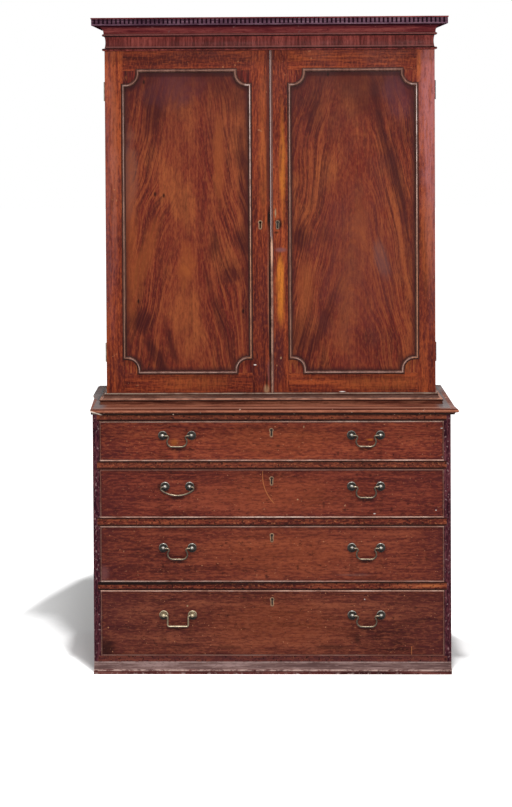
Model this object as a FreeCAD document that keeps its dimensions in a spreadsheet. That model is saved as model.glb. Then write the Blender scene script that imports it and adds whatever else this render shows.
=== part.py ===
import FreeCAD, Part
import math
import os
import re
import Sketcher

# A linen press in two stages: a cupboard with two panelled doors and sliding trays, under a
# dentil cornice, standing on a chest of four graduated drawers with bail handles.
# Millimetres, +X to the right, the front faces -Y, +Z up, origin under the middle of the press.

SIZES = {
    # Lower chest: sides, back, rails and the moulded ledge on top.
    "lower_width": 1180,
    "lower_depth": 560,
    "lower_side_thick": 22,
    "lower_back_thick": 12,
    "back_rebate": 10,
    "plank_gap": 0.8,
    "plinth_height": 37,
    "plinth_reach": 22,
    "plinth_fillet": 13,
    "plinth_quirk": 3,
    "bottom_rail_height": 19,
    "rail_height": 27,
    "rail_depth": 75,
    "top_rail_height": 21,
    "housing_depth": 8,
    "dust_thick": 10,
    "ledge_thick": 20,
    "lip_nose": 5,
    "lip_quirk": 2,
    "lip_reach": 25,
    # The old break at the lip's left front corner.
    "break_stump": 6,
    "break_root": 15,
    "break_length": 300,
    "break_splinter": 60,
    "chip_run": 32,
    "worn_tip": 10,
    "worn_run": 48,
    "worn_root": 16,
    # Drawers, counted from the top.
    "drawer_one_height": 133,
    "drawer_two_height": 161,
    "drawer_three_height": 186,
    "drawer_four_height": 219,
    "drawer_gap": 1.2,
    "drawer_seat_gap": 0.3,
    "drawer_front_thick": 22,
    "drawer_side_thick": 10,
    "drawer_back_thick": 10,
    "drawer_bottom_thick": 8,
    "drawer_bottom_rise": 9,
    "drawer_groove": 5,
    "drawer_side_drop": 6,
    "drawer_back_drop": 8,
    "drawer_rear_room": 12,
    "dovetail_lap": 6,
    "bead_thick": 4,
    "bead_proud": 3,
    "bead_set": 6,
    "bead_round": 1.8,
    "stop_width": 40,
    "stop_height": 5,
    "stop_depth": 12,
    "stop_inset": 120,
    # Locks and their thread escutcheons.
    "lock_width": 60,
    "lock_height": 44,
    "lock_thick": 10,
    "lock_drop": 14,
    "keyhole_drop": 30,
    "keyhole_radius": 4.2,
    "keyhole_slot": 4.8,
    "keyhole_tail": 18,
    "escutcheon_margin": 3.2,
    "escutcheon_thick": 3,
    "escutcheon_proud": 0.6,
    # Bail handles: turned posts, dished rosettes and the bails that swing in them.
    "handle_offset": 311,
    "drawer_one_handle_drop": 48,
    "drawer_two_handle_drop": 57,
    "drawer_three_handle_drop": 72.5,
    "drawer_four_handle_drop": 83,
    "post_spacing": 95,
    "bow_post_spacing": 81,
    "post_stand": 16,
    "post_ball": 7,
    "post_neck": 4,
    "rosette_radius": 15,
    "rosette_rim": 2,
    "rosette_floor": 1.5,
    "shank_radius": 3,
    "shank_clear": 0.2,
    "nut_radius": 7,
    "nut_thick": 4,
    "pin_radius": 2,
    "pin_clear": 0.06,
    "pin_past": 4,
    "bail_radius": 2.8,
    "bail_clear": 0.6,
    "bail_inset": 19.5,
    "bail_bend": 5,
    "bail_neck": 6,
    "bail_bowl": 17,
    "square_bail_inset": 13.5,
    "square_bail_drop": 35,
    "square_bail_corner": 6,
    "bow_bend": 6,
    # Upper cupboard: carcass, base moulding, frieze and cornice.
    "upper_width": 1100,
    "upper_setback": 110,
    "upper_side_thick": 22,
    "upper_back_thick": 12,
    "upper_board_thick": 20,
    "base_fascia_height": 11,
    "base_bead": 3,
    "base_cove": 13,
    "base_cap": 3,
    "base_cap_reach": 8,
    "frieze_thick": 32,
    "frieze_bead": 4,
    "frieze_land": 4,
    "frieze_face": 40,
    "frieze_hollow": 3,
    "cornice_neck": 3,
    "cornice_cove": 25,
    "cornice_soffit": 8,
    "cornice_fascia": 21,
    "cornice_cap_height": 4,
    "cornice_cap_reach": 7,
    "dentil_thick": 5,
    "dentil_width": 7.7,
    "dentil_gap": 6.6,
    "dentil_cut": 4,
    "dentil_foot": 4,
    # Doors: framed, panelled, with a planted moulding that turns in at its corners.
    "door_height": 1144,
    "door_thick": 22,
    "door_gap": 1,
    "door_meeting_gap": 2,
    "stile_width": 60,
    "door_rail_height": 66,
    "tenon_length": 36,
    "tenon_thick": 8,
    "panel_thick": 12,
    "panel_tongue": 8,
    "panel_tongue_thick": 5,
    "panel_recess": 0.5,
    "moulding_width": 14,
    "moulding_fillet": 1.5,
    "moulding_bead": 4.5,
    "moulding_hinge_inset": 61,
    "moulding_meeting_inset": 65,
    "moulding_top_inset": 66,
    "moulding_bottom_inset": 68,
    "moulding_corner": 40,
    "moulding_ear": 9,
    "meeting_bead_width": 9,
    "meeting_bead_proud": 3.5,
    "left_keyhole_inset": 33,
    "right_keyhole_inset": 25,
    "door_keyhole_height": 570,
    # Butt hinges, half sunk at the outer edges of the doors.
    "hinge_length": 64,
    "hinge_inset": 134,
    "hinge_axis_out": 1,
    "knuckle_radius": 4.2,
    "knuckle_room": 0.4,
    "knuckle_gap": 0.3,
    "hinge_pin_radius": 2,
    "hinge_pin_clear": 0.06,
    "leaf_width": 18,
    "leaf_thick": 2,
    # Sliding trays and their runners.
    "tray_height": 110,
    "tray_front_height": 60,
    "tray_wall": 9,
    "tray_bottom": 8,
    "tray_side_gap": 1.5,
    "tray_seat_gap": 0.3,
    "tray_front_room": 32,
    "tray_rear_room": 3,
    "tray_pitch": 180,
    "tray_first_rise": 45,
    "tray_scoop_setback": 30,
    "runner_width": 14,
    "runner_height": 18,
    # How far every cutting tool runs past the face it cuts.
    "overrun": 2,
}

# A tail is wider at its end than at its root, both as shares of the tails' pitch.
TAIL_END_SHARE = 0.37
TAIL_ROOT_SHARE = 0.29
# The neck of a swan bail leans out along the hypotenuse of a 3-4-5 triangle.
NECK_SINE_SHARE = 0.6
NECK_COSINE_SHARE = 0.8
UPPER_PLANKS = 5
LOWER_PLANKS = 4
TRAYS = 4

doc = FreeCAD.newDocument("linen_press")
sheet = doc.addObject("Spreadsheet::Sheet", "Sizes")
for row, (alias, number) in enumerate(SIZES.items(), start=1):
    sheet.set(f"A{row}", alias)
    sheet.set(f"B{row}", str(number))
    sheet.setAlias(f"B{row}", alias)
doc.recompute()

NODES = {}


# Formulas name the sheet's sizes. Places that many pieces share have a name here.

HALF_LOWER = "(lower_width / 2)"
LOWER_INSIDE = "(lower_width / 2 - lower_side_thick)"
LOWER_FRONT = "((lip_reach - lower_depth) / 2)"
BACK = "((lip_reach + lower_depth) / 2)"
LOWER_BACK_FACE = f"({BACK} - lower_back_thick)"
FLOOR_FOUR = "(plinth_height + bottom_rail_height)"
FLOOR_THREE = f"({FLOOR_FOUR} + drawer_four_height + rail_height)"
FLOOR_TWO = f"({FLOOR_THREE} + drawer_three_height + rail_height)"
FLOOR_ONE = f"({FLOOR_TWO} + drawer_two_height + rail_height)"
TOP_RAIL = f"({FLOOR_ONE} + drawer_one_height)"
CASE_TOP = f"({TOP_RAIL} + top_rail_height)"
LEDGE = f"({CASE_TOP} + ledge_thick)"

HALF_UPPER = "(upper_width / 2)"
UPPER_INSIDE = "(upper_width / 2 - upper_side_thick)"
UPPER_FRONT = f"({LOWER_FRONT} + upper_setback)"
DOOR_BACK = f"({UPPER_FRONT} + door_thick)"
CARCASS_FRONT = f"({DOOR_BACK} + door_gap)"
UPPER_BACK_FACE = f"({BACK} - upper_back_thick)"
BASE_HEIGHT = "(base_fascia_height + 2 * base_bead + base_cove + 2 * base_cap)"
BASE_TOP = f"({LEDGE} + {BASE_HEIGHT})"
DOOR_LOW = f"({BASE_TOP} + door_gap)"
DOOR_HIGH = f"({DOOR_LOW} + door_height)"
FRIEZE = f"({DOOR_HIGH} + door_gap)"
FRIEZE_HEIGHT = "(4 * frieze_bead + frieze_face)"
CORNICE = f"({FRIEZE} + {FRIEZE_HEIGHT})"
MEETING = "(door_meeting_gap / 2)"


def bound(formula):
    """The formula as an expression: every size is read from the sheet."""
    return re.sub(r"\b[a-z][a-z_]*\b(?!\()", lambda word: "Sizes." + word.group(), formula)


def size(formula):
    """The formula's value in millimetres."""
    return float(sheet.evalExpression(bound(formula)))


def bind(feature, prop, formula):
    feature.setExpression(prop, bound(formula))


def settle(feature, low):
    """Bind a feature's place to three formulas."""
    for axis, formula in zip("xyz", low):
        bind(feature, "Placement.Base." + axis, formula)
    return feature


def node(name, feature):
    """Give a finished sub-part its name."""
    feature.Label = name
    NODES[name] = feature
    return feature


# Plain solids and the ways of joining them.

def board(name, low, high):
    """A square-edged board between two corners."""
    box = doc.addObject("Part::Box", name)
    for prop, start, end in zip(("Length", "Width", "Height"), low, high):
        bind(box, prop, f"({end}) - ({start})")
    return settle(box, low)


TURNS = {
    "z": FreeCAD.Rotation(),
    "y": FreeCAD.Rotation(FreeCAD.Vector(1, 0, 0), -90),
    "x": FreeCAD.Rotation(FreeCAD.Vector(0, 1, 0), 90),
}


def rod(name, axis, low, radius, length):
    """A round bar that starts at low and runs along one axis."""
    bar = doc.addObject("Part::Cylinder", name)
    bar.Placement = FreeCAD.Placement(FreeCAD.Vector(), TURNS[axis])
    bind(bar, "Radius", radius)
    bind(bar, "Height", length)
    return settle(bar, low)


def fuse(name, pieces):
    joined = doc.addObject("Part::MultiFuse", name)
    joined.Shapes = pieces
    return joined


def cut(name, base, tools):
    """The base with every tool taken away from it."""
    result = doc.addObject("Part::Cut", name)
    result.Base = base
    result.Tool = tools[0] if len(tools) == 1 else gather(name + "_tools", tools)
    return result


def gather(name, pieces):
    """Several separate solids as one object."""
    group = doc.addObject("Part::Compound", name)
    group.Links = pieces
    return group


def placed(name, source, low):
    """A copy of a finished piece, moved to its place."""
    return settle(gather(name, [source]), low)


def mirrored(name, source):
    """The same piece on the other side of the press."""
    mirror = doc.addObject("Part::Mirroring", name)
    mirror.Source = source
    mirror.Normal = FreeCAD.Vector(1, 0, 0)
    return mirror


# Sketches whose corners are held by formulas.

def new_body(name):
    return doc.addObject("PartDesign::Body", name)


def new_sketch(body, name, plane, offset="0"):
    sketch = body.newObject("Sketcher::SketchObject", name)
    support = [face for face in body.Origin.OriginFeatures if face.Role == plane][0]
    sketch.AttachmentSupport = [(support, "")]
    sketch.MapMode = "FlatFace"
    if offset != "0":
        bind(sketch, "AttachmentOffset.Base.z", offset)
    return sketch


def hold(sketch, kind, geometry, point, formula):
    """Hold one coordinate of a sketch point by a formula."""
    if formula == "0":
        axis = -2 if kind == "DistanceX" else -1
        sketch.addConstraint(Sketcher.Constraint("PointOnObject", geometry, point, axis))
        return
    datum = sketch.addConstraint(Sketcher.Constraint(kind, -1, 1, geometry, point, size(formula)))
    bind(sketch, f"Constraints[{datum}]", formula)


def add_run(sketch, start, segments, closed=True):
    """Draw lines and arcs from start. A segment is its end (u, v), and an arc also gives its
    centre and its turn, 1 for anticlockwise and -1 for clockwise."""
    ends = []
    corners = [start] + [segment[:2] for segment in segments]
    for (u0, v0), segment in zip(corners, segments):
        first = FreeCAD.Vector(size(u0), size(v0), 0)
        last = FreeCAD.Vector(size(segment[0]), size(segment[1]), 0)
        if len(segment) == 2:
            index = sketch.addGeometry(Part.LineSegment(first, last))
            ends.append((index, 1, 2))
            continue
        centre = FreeCAD.Vector(size(segment[2]), size(segment[3]), 0)
        forward = segment[4] > 0
        angles = [math.atan2(p.y - centre.y, p.x - centre.x) for p in (first, last)]
        begin, finish = angles if forward else reversed(angles)
        circle = Part.Circle(centre, FreeCAD.Vector(0, 0, 1), (first - centre).Length)
        index = sketch.addGeometry(Part.ArcOfCircle(circle, begin, finish))
        ends.append((index, 1, 2) if forward else (index, 2, 1))
        chord = last - first
        if abs(chord.y) >= abs(chord.x):
            hold(sketch, "DistanceX", index, 3, segment[2])
        else:
            hold(sketch, "DistanceY", index, 3, segment[3])
    for place, (index, begin, finish) in enumerate(ends):
        u, v = corners[place]
        hold(sketch, "DistanceX", index, begin, u)
        hold(sketch, "DistanceY", index, begin, v)
        following = place + 1
        if following < len(ends):
            after = ends[following]
        elif closed:
            after = ends[0]
        else:
            hold(sketch, "DistanceX", index, finish, corners[-1][0])
            hold(sketch, "DistanceY", index, finish, corners[-1][1])
            continue
        sketch.addConstraint(Sketcher.Constraint("Coincident", index, finish, after[0], after[1]))
    return sketch


def rectangle(sketch, low, high):
    (u0, v0), (u1, v1) = low, high
    return add_run(sketch, (u0, v0), [(u1, v0), (u1, v1), (u0, v1), (u0, v0)])


def pad(body, sketch, length, back=False):
    feature = body.newObject("PartDesign::Pad", sketch.Name + "_pad")
    feature.Profile = sketch
    bind(feature, "Length", length)
    feature.Reversed = back
    return feature


def sweep(body, profile, route, corner):
    feature = body.newObject("PartDesign::AdditivePipe", profile.Name + "_sweep")
    feature.Profile = (profile, [""])
    feature.Spine = (route, [f"Edge{edge + 1}" for edge in range(route.GeometryCount)])
    feature.Transition = corner
    return feature


def wrap_moulding(name, half_width, front, base, profile):
    """A moulding mitred round the front and both sides of a stage. The profile's points are
    (how far out, how high), from the face of the stage and from the moulding's foot."""
    body = new_body(name)
    route = new_sketch(body, name + "_route", "XY_Plane", base)
    left = f"-{half_width}"
    add_run(route, (left, BACK), [(left, front), (half_width, front), (half_width, BACK)], False)
    section = new_sketch(body, name + "_section", "XZ_Plane", f"-{BACK}")

    def across(out):
        return f"-{half_width} - ({out})"

    def above(high):
        return f"{base} + ({high})"

    points = []
    for point in profile:
        spot = (across(point[0]), above(point[1]))
        if len(point) > 2:
            spot += (across(point[2]), above(point[3]), -point[4])
        points.append(spot)
    add_run(section, points[-1][:2], points)
    sweep(body, section, route, "Right corner")
    return body


# Lower chest.

def make_plinth():
    """The low plinth moulding: a square foot, a hollow and a small quirk, on the front only."""
    body = new_body("plinth_body")
    sketch = new_sketch(body, "plinth_section", "YZ_Plane", f"-{HALF_LOWER}")
    hollow = "(plinth_height - plinth_quirk - plinth_fillet)"
    out = f"({LOWER_FRONT} - plinth_reach)"
    shoulder = f"({out} + {hollow})"
    add_run(sketch, (LOWER_FRONT, "0"), [
        (out, "0"),
        (out, "plinth_fillet"),
        (shoulder, f"plinth_fillet + {hollow}", out, f"plinth_fillet + {hollow}", 1),
        (shoulder, "plinth_height"),
        (LOWER_FRONT, "plinth_height"),
        (LOWER_FRONT, "0"),
    ])
    pad(body, sketch, "lower_width")
    node("plinth_moulding", body)


def make_dividers():
    """Front rails housed in the sides, dust boards behind them, and the drawer stops."""
    half = f"({LOWER_INSIDE} + housing_depth)"
    behind = f"({LOWER_FRONT} + rail_depth)"
    pieces = []
    floors = [FLOOR_FOUR, FLOOR_THREE, FLOOR_TWO, FLOOR_ONE]
    for level, floor in enumerate(floors):
        foot = "0" if level == 0 else f"{floor} - rail_height"
        pieces.append(board(f"rail_{level}", (f"-{half}", LOWER_FRONT, foot), (half, behind, floor)))
        pieces.append(board(f"dust_board_{level}", (f"-{half}", behind, f"{floor} - dust_thick"),
                            (half, LOWER_BACK_FACE, floor)))
    pieces.append(board("top_rail", (f"-{half}", LOWER_FRONT, TOP_RAIL), (half, behind, CASE_TOP)))
    housings = gather("housings", pieces[:])
    stop_front = f"({LOWER_FRONT} + drawer_front_thick + drawer_seat_gap)"
    for level, floor in enumerate(floors):
        start = f"({LOWER_INSIDE} - stop_inset)"
        stop = board(f"stop_{level}", (f"{start} - stop_width", stop_front, floor),
                     (start, f"{stop_front} + stop_depth", f"{floor} + stop_height"))
        pieces += [stop, mirrored(f"stop_{level}_left", stop)]
    node("drawer_dividers", gather("dividers", pieces))
    return housings


def make_waist():
    """The lip round the ledge: a cove under a round nose, and a quirk above it. It has broken
    away along the front of the left return, with a slanting chip under the nose's left end,
    and the right return has lost its nose behind the corner."""
    nose = "(lip_reach - lip_nose)"
    cove = "(ledge_thick - 2 * lip_nose - lip_quirk)"
    brow = f"({cove} + 2 * lip_nose)"
    whole = wrap_moulding("waist", HALF_LOWER, LOWER_FRONT, CASE_TOP, [
        (f"{nose} - {cove}", "0"),
        (nose, cove, nose, "0", -1),
        (nose, brow, nose, f"{cove} + lip_nose", 1),
        (f"{nose} - lip_quirk", brow),
        (f"{nose} - lip_quirk", "ledge_thick"),
        ("0", "ledge_thick"),
        ("0", "0"),
    ])
    loss = new_body("lip_loss")
    plan = new_sketch(loss, "lip_loss_plan", "XY_Plane", f"{CASE_TOP} - overrun")
    outside = f"(-{HALF_LOWER} - lip_reach - overrun)"
    ahead = f"({LOWER_FRONT} - lip_reach - overrun)"
    stump = f"(-{HALF_LOWER} - break_stump)"
    add_run(plan, (outside, ahead), [
        (stump, ahead),
        (stump, LOWER_FRONT),
        (f"-{HALF_LOWER} - break_root", f"{LOWER_FRONT} + break_length"),
        (outside, f"{LOWER_FRONT} + break_length + break_splinter"),
        (outside, ahead),
    ])
    pad(loss, plan, "ledge_thick + 2 * overrun")
    chip = new_body("lip_chip")
    slant = new_sketch(chip, "lip_chip_slant", "XZ_Plane", f"-{LOWER_FRONT}")
    end = f"({stump} - overrun)"
    under = f"({CASE_TOP} - overrun)"
    add_run(slant, (end, under), [
        (f"-{HALF_LOWER} + chip_run", under),
        (end, f"{CASE_TOP} + {cove} + lip_nose"),
        (end, under),
    ])
    pad(chip, slant, "lip_reach + overrun")
    wear = new_body("lip_wear")
    outline = new_sketch(wear, "lip_wear_plan", "XY_Plane", f"{CASE_TOP} - overrun")
    tip = f"({HALF_LOWER} + lip_reach)"
    behind = f"({LOWER_FRONT} - lip_reach + worn_tip)"
    edge = f"({HALF_LOWER} + worn_root)"
    rear = f"({BACK} + overrun)"
    add_run(outline, (tip, behind), [
        (f"{tip} + overrun", behind),
        (f"{tip} + overrun", rear),
        (edge, rear),
        (edge, f"{behind} + worn_run"),
        (tip, behind),
    ])
    pad(wear, outline, "ledge_thick + 2 * overrun")
    broken = cut("waist_worn", cut("waist_broken", whole, [loss]), [wear])
    node("waist_moulding", cut("waist_chipped", broken, [chip]))


def make_lower_case():
    housings = make_dividers()
    planks = []
    reach = f"({LOWER_INSIDE} + back_rebate)"
    for plank in range(LOWER_PLANKS):
        rise = f"({CASE_TOP} / {LOWER_PLANKS})"
        planks.append(board(f"lower_plank_{plank}", (f"-{reach}", LOWER_BACK_FACE, f"{plank} * {rise}"),
                            (reach, BACK, f"{plank + 1} * {rise} - plank_gap")))
    node("lower_back_boards", gather("lower_planks", planks))
    rebate = board("lower_rebate", (f"-{reach}", LOWER_BACK_FACE, "-overrun"),
                   (reach, f"{BACK} + overrun", f"{CASE_TOP} + overrun"))
    blank = board("lower_side_blank", (f"-{HALF_LOWER}", LOWER_FRONT, "0"),
                  (f"-{LOWER_INSIDE}", BACK, CASE_TOP))
    left = cut("lower_left_side", blank, [housings, rebate])
    node("lower_sides", gather("lower_side_pair", [left, mirrored("lower_right_side", left)]))
    node("ledge_board", board("ledge", (f"-{HALF_LOWER}", LOWER_FRONT, CASE_TOP),
                              (HALF_LOWER, BACK, LEDGE)))
    make_waist()
    make_plinth()


# Keyholes, locks and escutcheons.

def keyhole_run(margin):
    """A keyhole outline round its eye's centre, grown by a margin."""
    radius = f"(keyhole_radius + {margin})"
    half = f"(keyhole_slot / 2 + {margin})"
    neck = f"(-sqrt({radius} * {radius} - {half} * {half}))"
    segments = [
        (f"-{half}", neck, "0", "0", 1),
        (f"-{half}", "-keyhole_tail"),
        (half, "-keyhole_tail", "0", "-keyhole_tail", 1),
        (half, neck),
    ]
    return (half, neck), segments


def make_keyhole_tool():
    body = new_body("keyhole_tool")
    sketch = new_sketch(body, "keyhole_outline", "XZ_Plane", "overrun")
    add_run(sketch, *keyhole_run("0"))
    pad(body, sketch, "drawer_front_thick + door_thick + 2 * overrun", back=True)
    return body


def make_escutcheon():
    """A brass lining round the keyhole, let into the wood and a little proud of it."""
    body = new_body("escutcheon")
    sketch = new_sketch(body, "escutcheon_outline", "XZ_Plane", "escutcheon_proud")
    add_run(sketch, *keyhole_run("escutcheon_margin"))
    add_run(sketch, *keyhole_run("0"))
    pad(body, sketch, "escutcheon_thick + escutcheon_proud", back=True)
    return body


def make_escutcheon_seat():
    """The recess that takes the escutcheon."""
    body = new_body("escutcheon_seat")
    sketch = new_sketch(body, "seat_outline", "XZ_Plane", "overrun")
    add_run(sketch, *keyhole_run("escutcheon_margin"))
    pad(body, sketch, "escutcheon_thick + overrun", back=True)
    return body


# Handles.

def make_post():
    """A turned post on a dished rosette, with its shank and nut behind. Its axis is Y, its
    rosette seats at zero, and the bail's pin runs through the ball along X."""
    body = new_body("post_turning")
    sketch = new_sketch(body, "post_outline", "XY_Plane")
    waist = "(-post_stand + sqrt(post_ball * post_ball - post_neck * post_neck))"
    dish = "(rosette_radius - 2 * rosette_rim)"
    nut_face = "drawer_front_thick"
    add_run(sketch, ("0", f"{nut_face} + nut_thick"), [
        ("0", "-post_stand - post_ball"),
        ("post_neck", waist, "0", "-post_stand", 1),
        ("post_neck", "-rosette_floor"),
        (dish, "-rosette_floor"),
        ("rosette_radius", "-rosette_floor", "rosette_radius - rosette_rim", "-rosette_floor", 1),
        ("rosette_radius", "0"),
        ("shank_radius", "0"),
        ("shank_radius", nut_face),
        ("nut_radius", nut_face),
        ("nut_radius", f"{nut_face} + nut_thick"),
        ("0", f"{nut_face} + nut_thick"),
    ])
    turning = body.newObject("PartDesign::Revolution", "post_revolution")
    turning.Profile = sketch
    turning.ReferenceAxis = (sketch, ["V_Axis"])
    turning.Angle = 360
    eye = rod("post_eye", "x", ("-post_ball - overrun", "-post_stand", "0"),
              "pin_radius + pin_clear", "2 * (post_ball + overrun)")
    return cut("post", body, [eye])


def make_pair(name, post, spacing):
    """Two posts, one handle."""
    left = placed(name + "_left", post, (f"-{spacing} / 2", "0", "0"))
    right = placed(name + "_right", post, (f"{spacing} / 2", "0", "0"))
    return gather(name, [left, right])


def make_bail(name, spacing, half_run, side):
    """A bail swept along a route that is the same on both sides, with pins for its posts.
    The route's left half starts beside the left post and ends on the middle line. side is
    the side of the left post it starts on: 1 between the posts, -1 outside them."""
    body = new_body(name + "_body")
    start = f"(-{spacing} / 2 + {side} * (post_ball + bail_clear))"
    route = new_sketch(body, name + "_route", "XZ_Plane")
    left = half_run(spacing, start)
    corners = [(start, "0")] + [segment[:2] for segment in left]
    right = []
    for segment, (u, v) in zip(reversed(left), reversed(corners[:-1])):
        spot = (f"-({u})", v)
        if len(segment) > 2:
            spot += (f"-({segment[2]})", segment[3], segment[4])
        right.append(spot)
    add_run(route, (start, "0"), left + right, False)
    section = new_sketch(body, name + "_section", "YZ_Plane", start)
    circle = Part.Circle(FreeCAD.Vector(), FreeCAD.Vector(0, 0, 1), size("bail_radius"))
    index = section.addGeometry(circle)
    section.addConstraint(Sketcher.Constraint("Coincident", index, 3, -1, 1))
    datum = section.addConstraint(Sketcher.Constraint("Radius", index, size("bail_radius")))
    bind(section, f"Constraints[{datum}]", "bail_radius")
    sweep(body, section, route, "Right corner")
    past = f"(-{spacing} / 2 - {side} * pin_past)"
    inside = f"({start} + {side} * bail_radius)"
    ends = (past, inside) if side > 0 else (inside, past)
    pin = rod(name + "_pin", "x", (ends[0], "0", "0"), "pin_radius", f"{ends[1]} - {ends[0]}")
    return fuse(name, [body, pin, mirrored(name + "_other_pin", pin)])


def swan_run(spacing, start):
    """Down from the pin, out along the neck, and round the bowl to the middle."""
    arm = f"(-{spacing} / 2 + bail_inset)"
    throat = f"({arm} - (1 - {NECK_COSINE_SHARE}) * bail_neck)"
    low = f"(-bail_bend - {NECK_SINE_SHARE} * bail_neck)"
    bowl_x = f"({throat} + {NECK_COSINE_SHARE} * bail_bowl)"
    bowl_z = f"({low} - {NECK_SINE_SHARE} * bail_bowl)"
    foot = f"({bowl_z} - bail_bowl)"
    return [
        (f"{arm} - bail_bend", "0"),
        (arm, "-bail_bend", f"{arm} - bail_bend", "-bail_bend", -1),
        (throat, low, f"{arm} - bail_neck", "-bail_bend", -1),
        (bowl_x, foot, bowl_x, bowl_z, 1),
        ("0", foot),
    ]


def square_run(spacing, start):
    """A plain squared bail."""
    arm = f"(-{spacing} / 2 + square_bail_inset)"
    foot = "(-square_bail_drop)"
    turn = f"({arm} + square_bail_corner)"
    return [
        (f"{arm} - bail_bend", "0"),
        (arm, "-bail_bend", f"{arm} - bail_bend", "-bail_bend", -1),
        (arm, f"{foot} + square_bail_corner"),
        (turn, foot, turn, f"{foot} + square_bail_corner", 1),
        ("0", foot),
    ]


def bow_run(spacing, start):
    """A plain bow: round outside the post, then one shallow arc to the middle."""
    turn = f"({start} - {NECK_SINE_SHARE} * bow_bend)"
    low = f"(-bow_bend - {NECK_COSINE_SHARE} * bow_bend)"
    radius = f"(-{turn} / {NECK_SINE_SHARE})"
    centre = f"({low} + {NECK_COSINE_SHARE} * {radius})"
    return [
        (turn, low, start, "-bow_bend", 1),
        ("0", f"{centre} - {radius}", "0", centre, 1),
    ]


# Drawers.

def make_side(name, low, high, tails):
    """A drawer side, with tails for the lapped front and for the back."""
    body = new_body(name)
    outer = f"({LOWER_INSIDE} - drawer_gap)"
    sketch = new_sketch(body, name + "_outline", "YZ_Plane", f"-{outer}")
    root = f"({LOWER_FRONT} + drawer_front_thick)"
    tip = f"({LOWER_FRONT} + dovetail_lap)"
    end = f"({LOWER_BACK_FACE} - drawer_rear_room)"
    end_root = f"({end} - drawer_back_thick)"
    pitch = f"(({high} - {low}) / {tails})"

    def comb(base, ends, order):
        points = []
        for tail in order:
            middle = f"({low} + {tail} * {pitch} + {pitch} / 2)"
            sides = ("-", "+") if order.step > 0 else ("+", "-")
            points += [(base, f"{middle} {sides[0]} {TAIL_ROOT_SHARE} * {pitch}"),
                       (ends, f"{middle} {sides[0]} {TAIL_END_SHARE} * {pitch}"),
                       (ends, f"{middle} {sides[1]} {TAIL_END_SHARE} * {pitch}"),
                       (base, f"{middle} {sides[1]} {TAIL_ROOT_SHARE} * {pitch}")]
        return points

    start = (root, low)
    back_end = [(end_root, low)] + comb(end_root, end, range(0, tails, 1)) + [(end_root, high)]
    front_end = [(root, high)] + comb(root, tip, range(tails - 1, -1, -1))
    add_run(sketch, start, back_end + front_end + [start])
    pad(body, sketch, "drawer_side_thick")
    return body


def make_cockbead(name, low, high):
    """A thin beading let into the edge of the drawer front, rounded where it stands proud."""
    body = new_body(name)
    sketch = new_sketch(body, name + "_outline", "XZ_Plane", f"bead_proud - {LOWER_FRONT}")
    half = f"({LOWER_INSIDE} - drawer_gap)"
    inner = f"({half} - bead_thick)"
    rectangle(sketch, (f"-{half}", low), (half, high))
    rectangle(sketch, (f"-{inner}", f"{low} + bead_thick"), (inner, f"{high} - bead_thick"))
    strip = pad(body, sketch, "bead_proud + bead_set", back=True)
    doc.recompute()
    proud = size(f"{LOWER_FRONT} - bead_proud")
    edges = [f"Edge{place + 1}" for place, edge in enumerate(strip.Shape.Edges)
             if all(abs(corner.Y - proud) < size("bead_round") for corner in edge.Vertexes)]
    rounding = body.newObject("PartDesign::Fillet", name + "_round")
    rounding.Base = (strip, edges)
    bind(rounding, "Radius", "bead_round")
    return body


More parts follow.
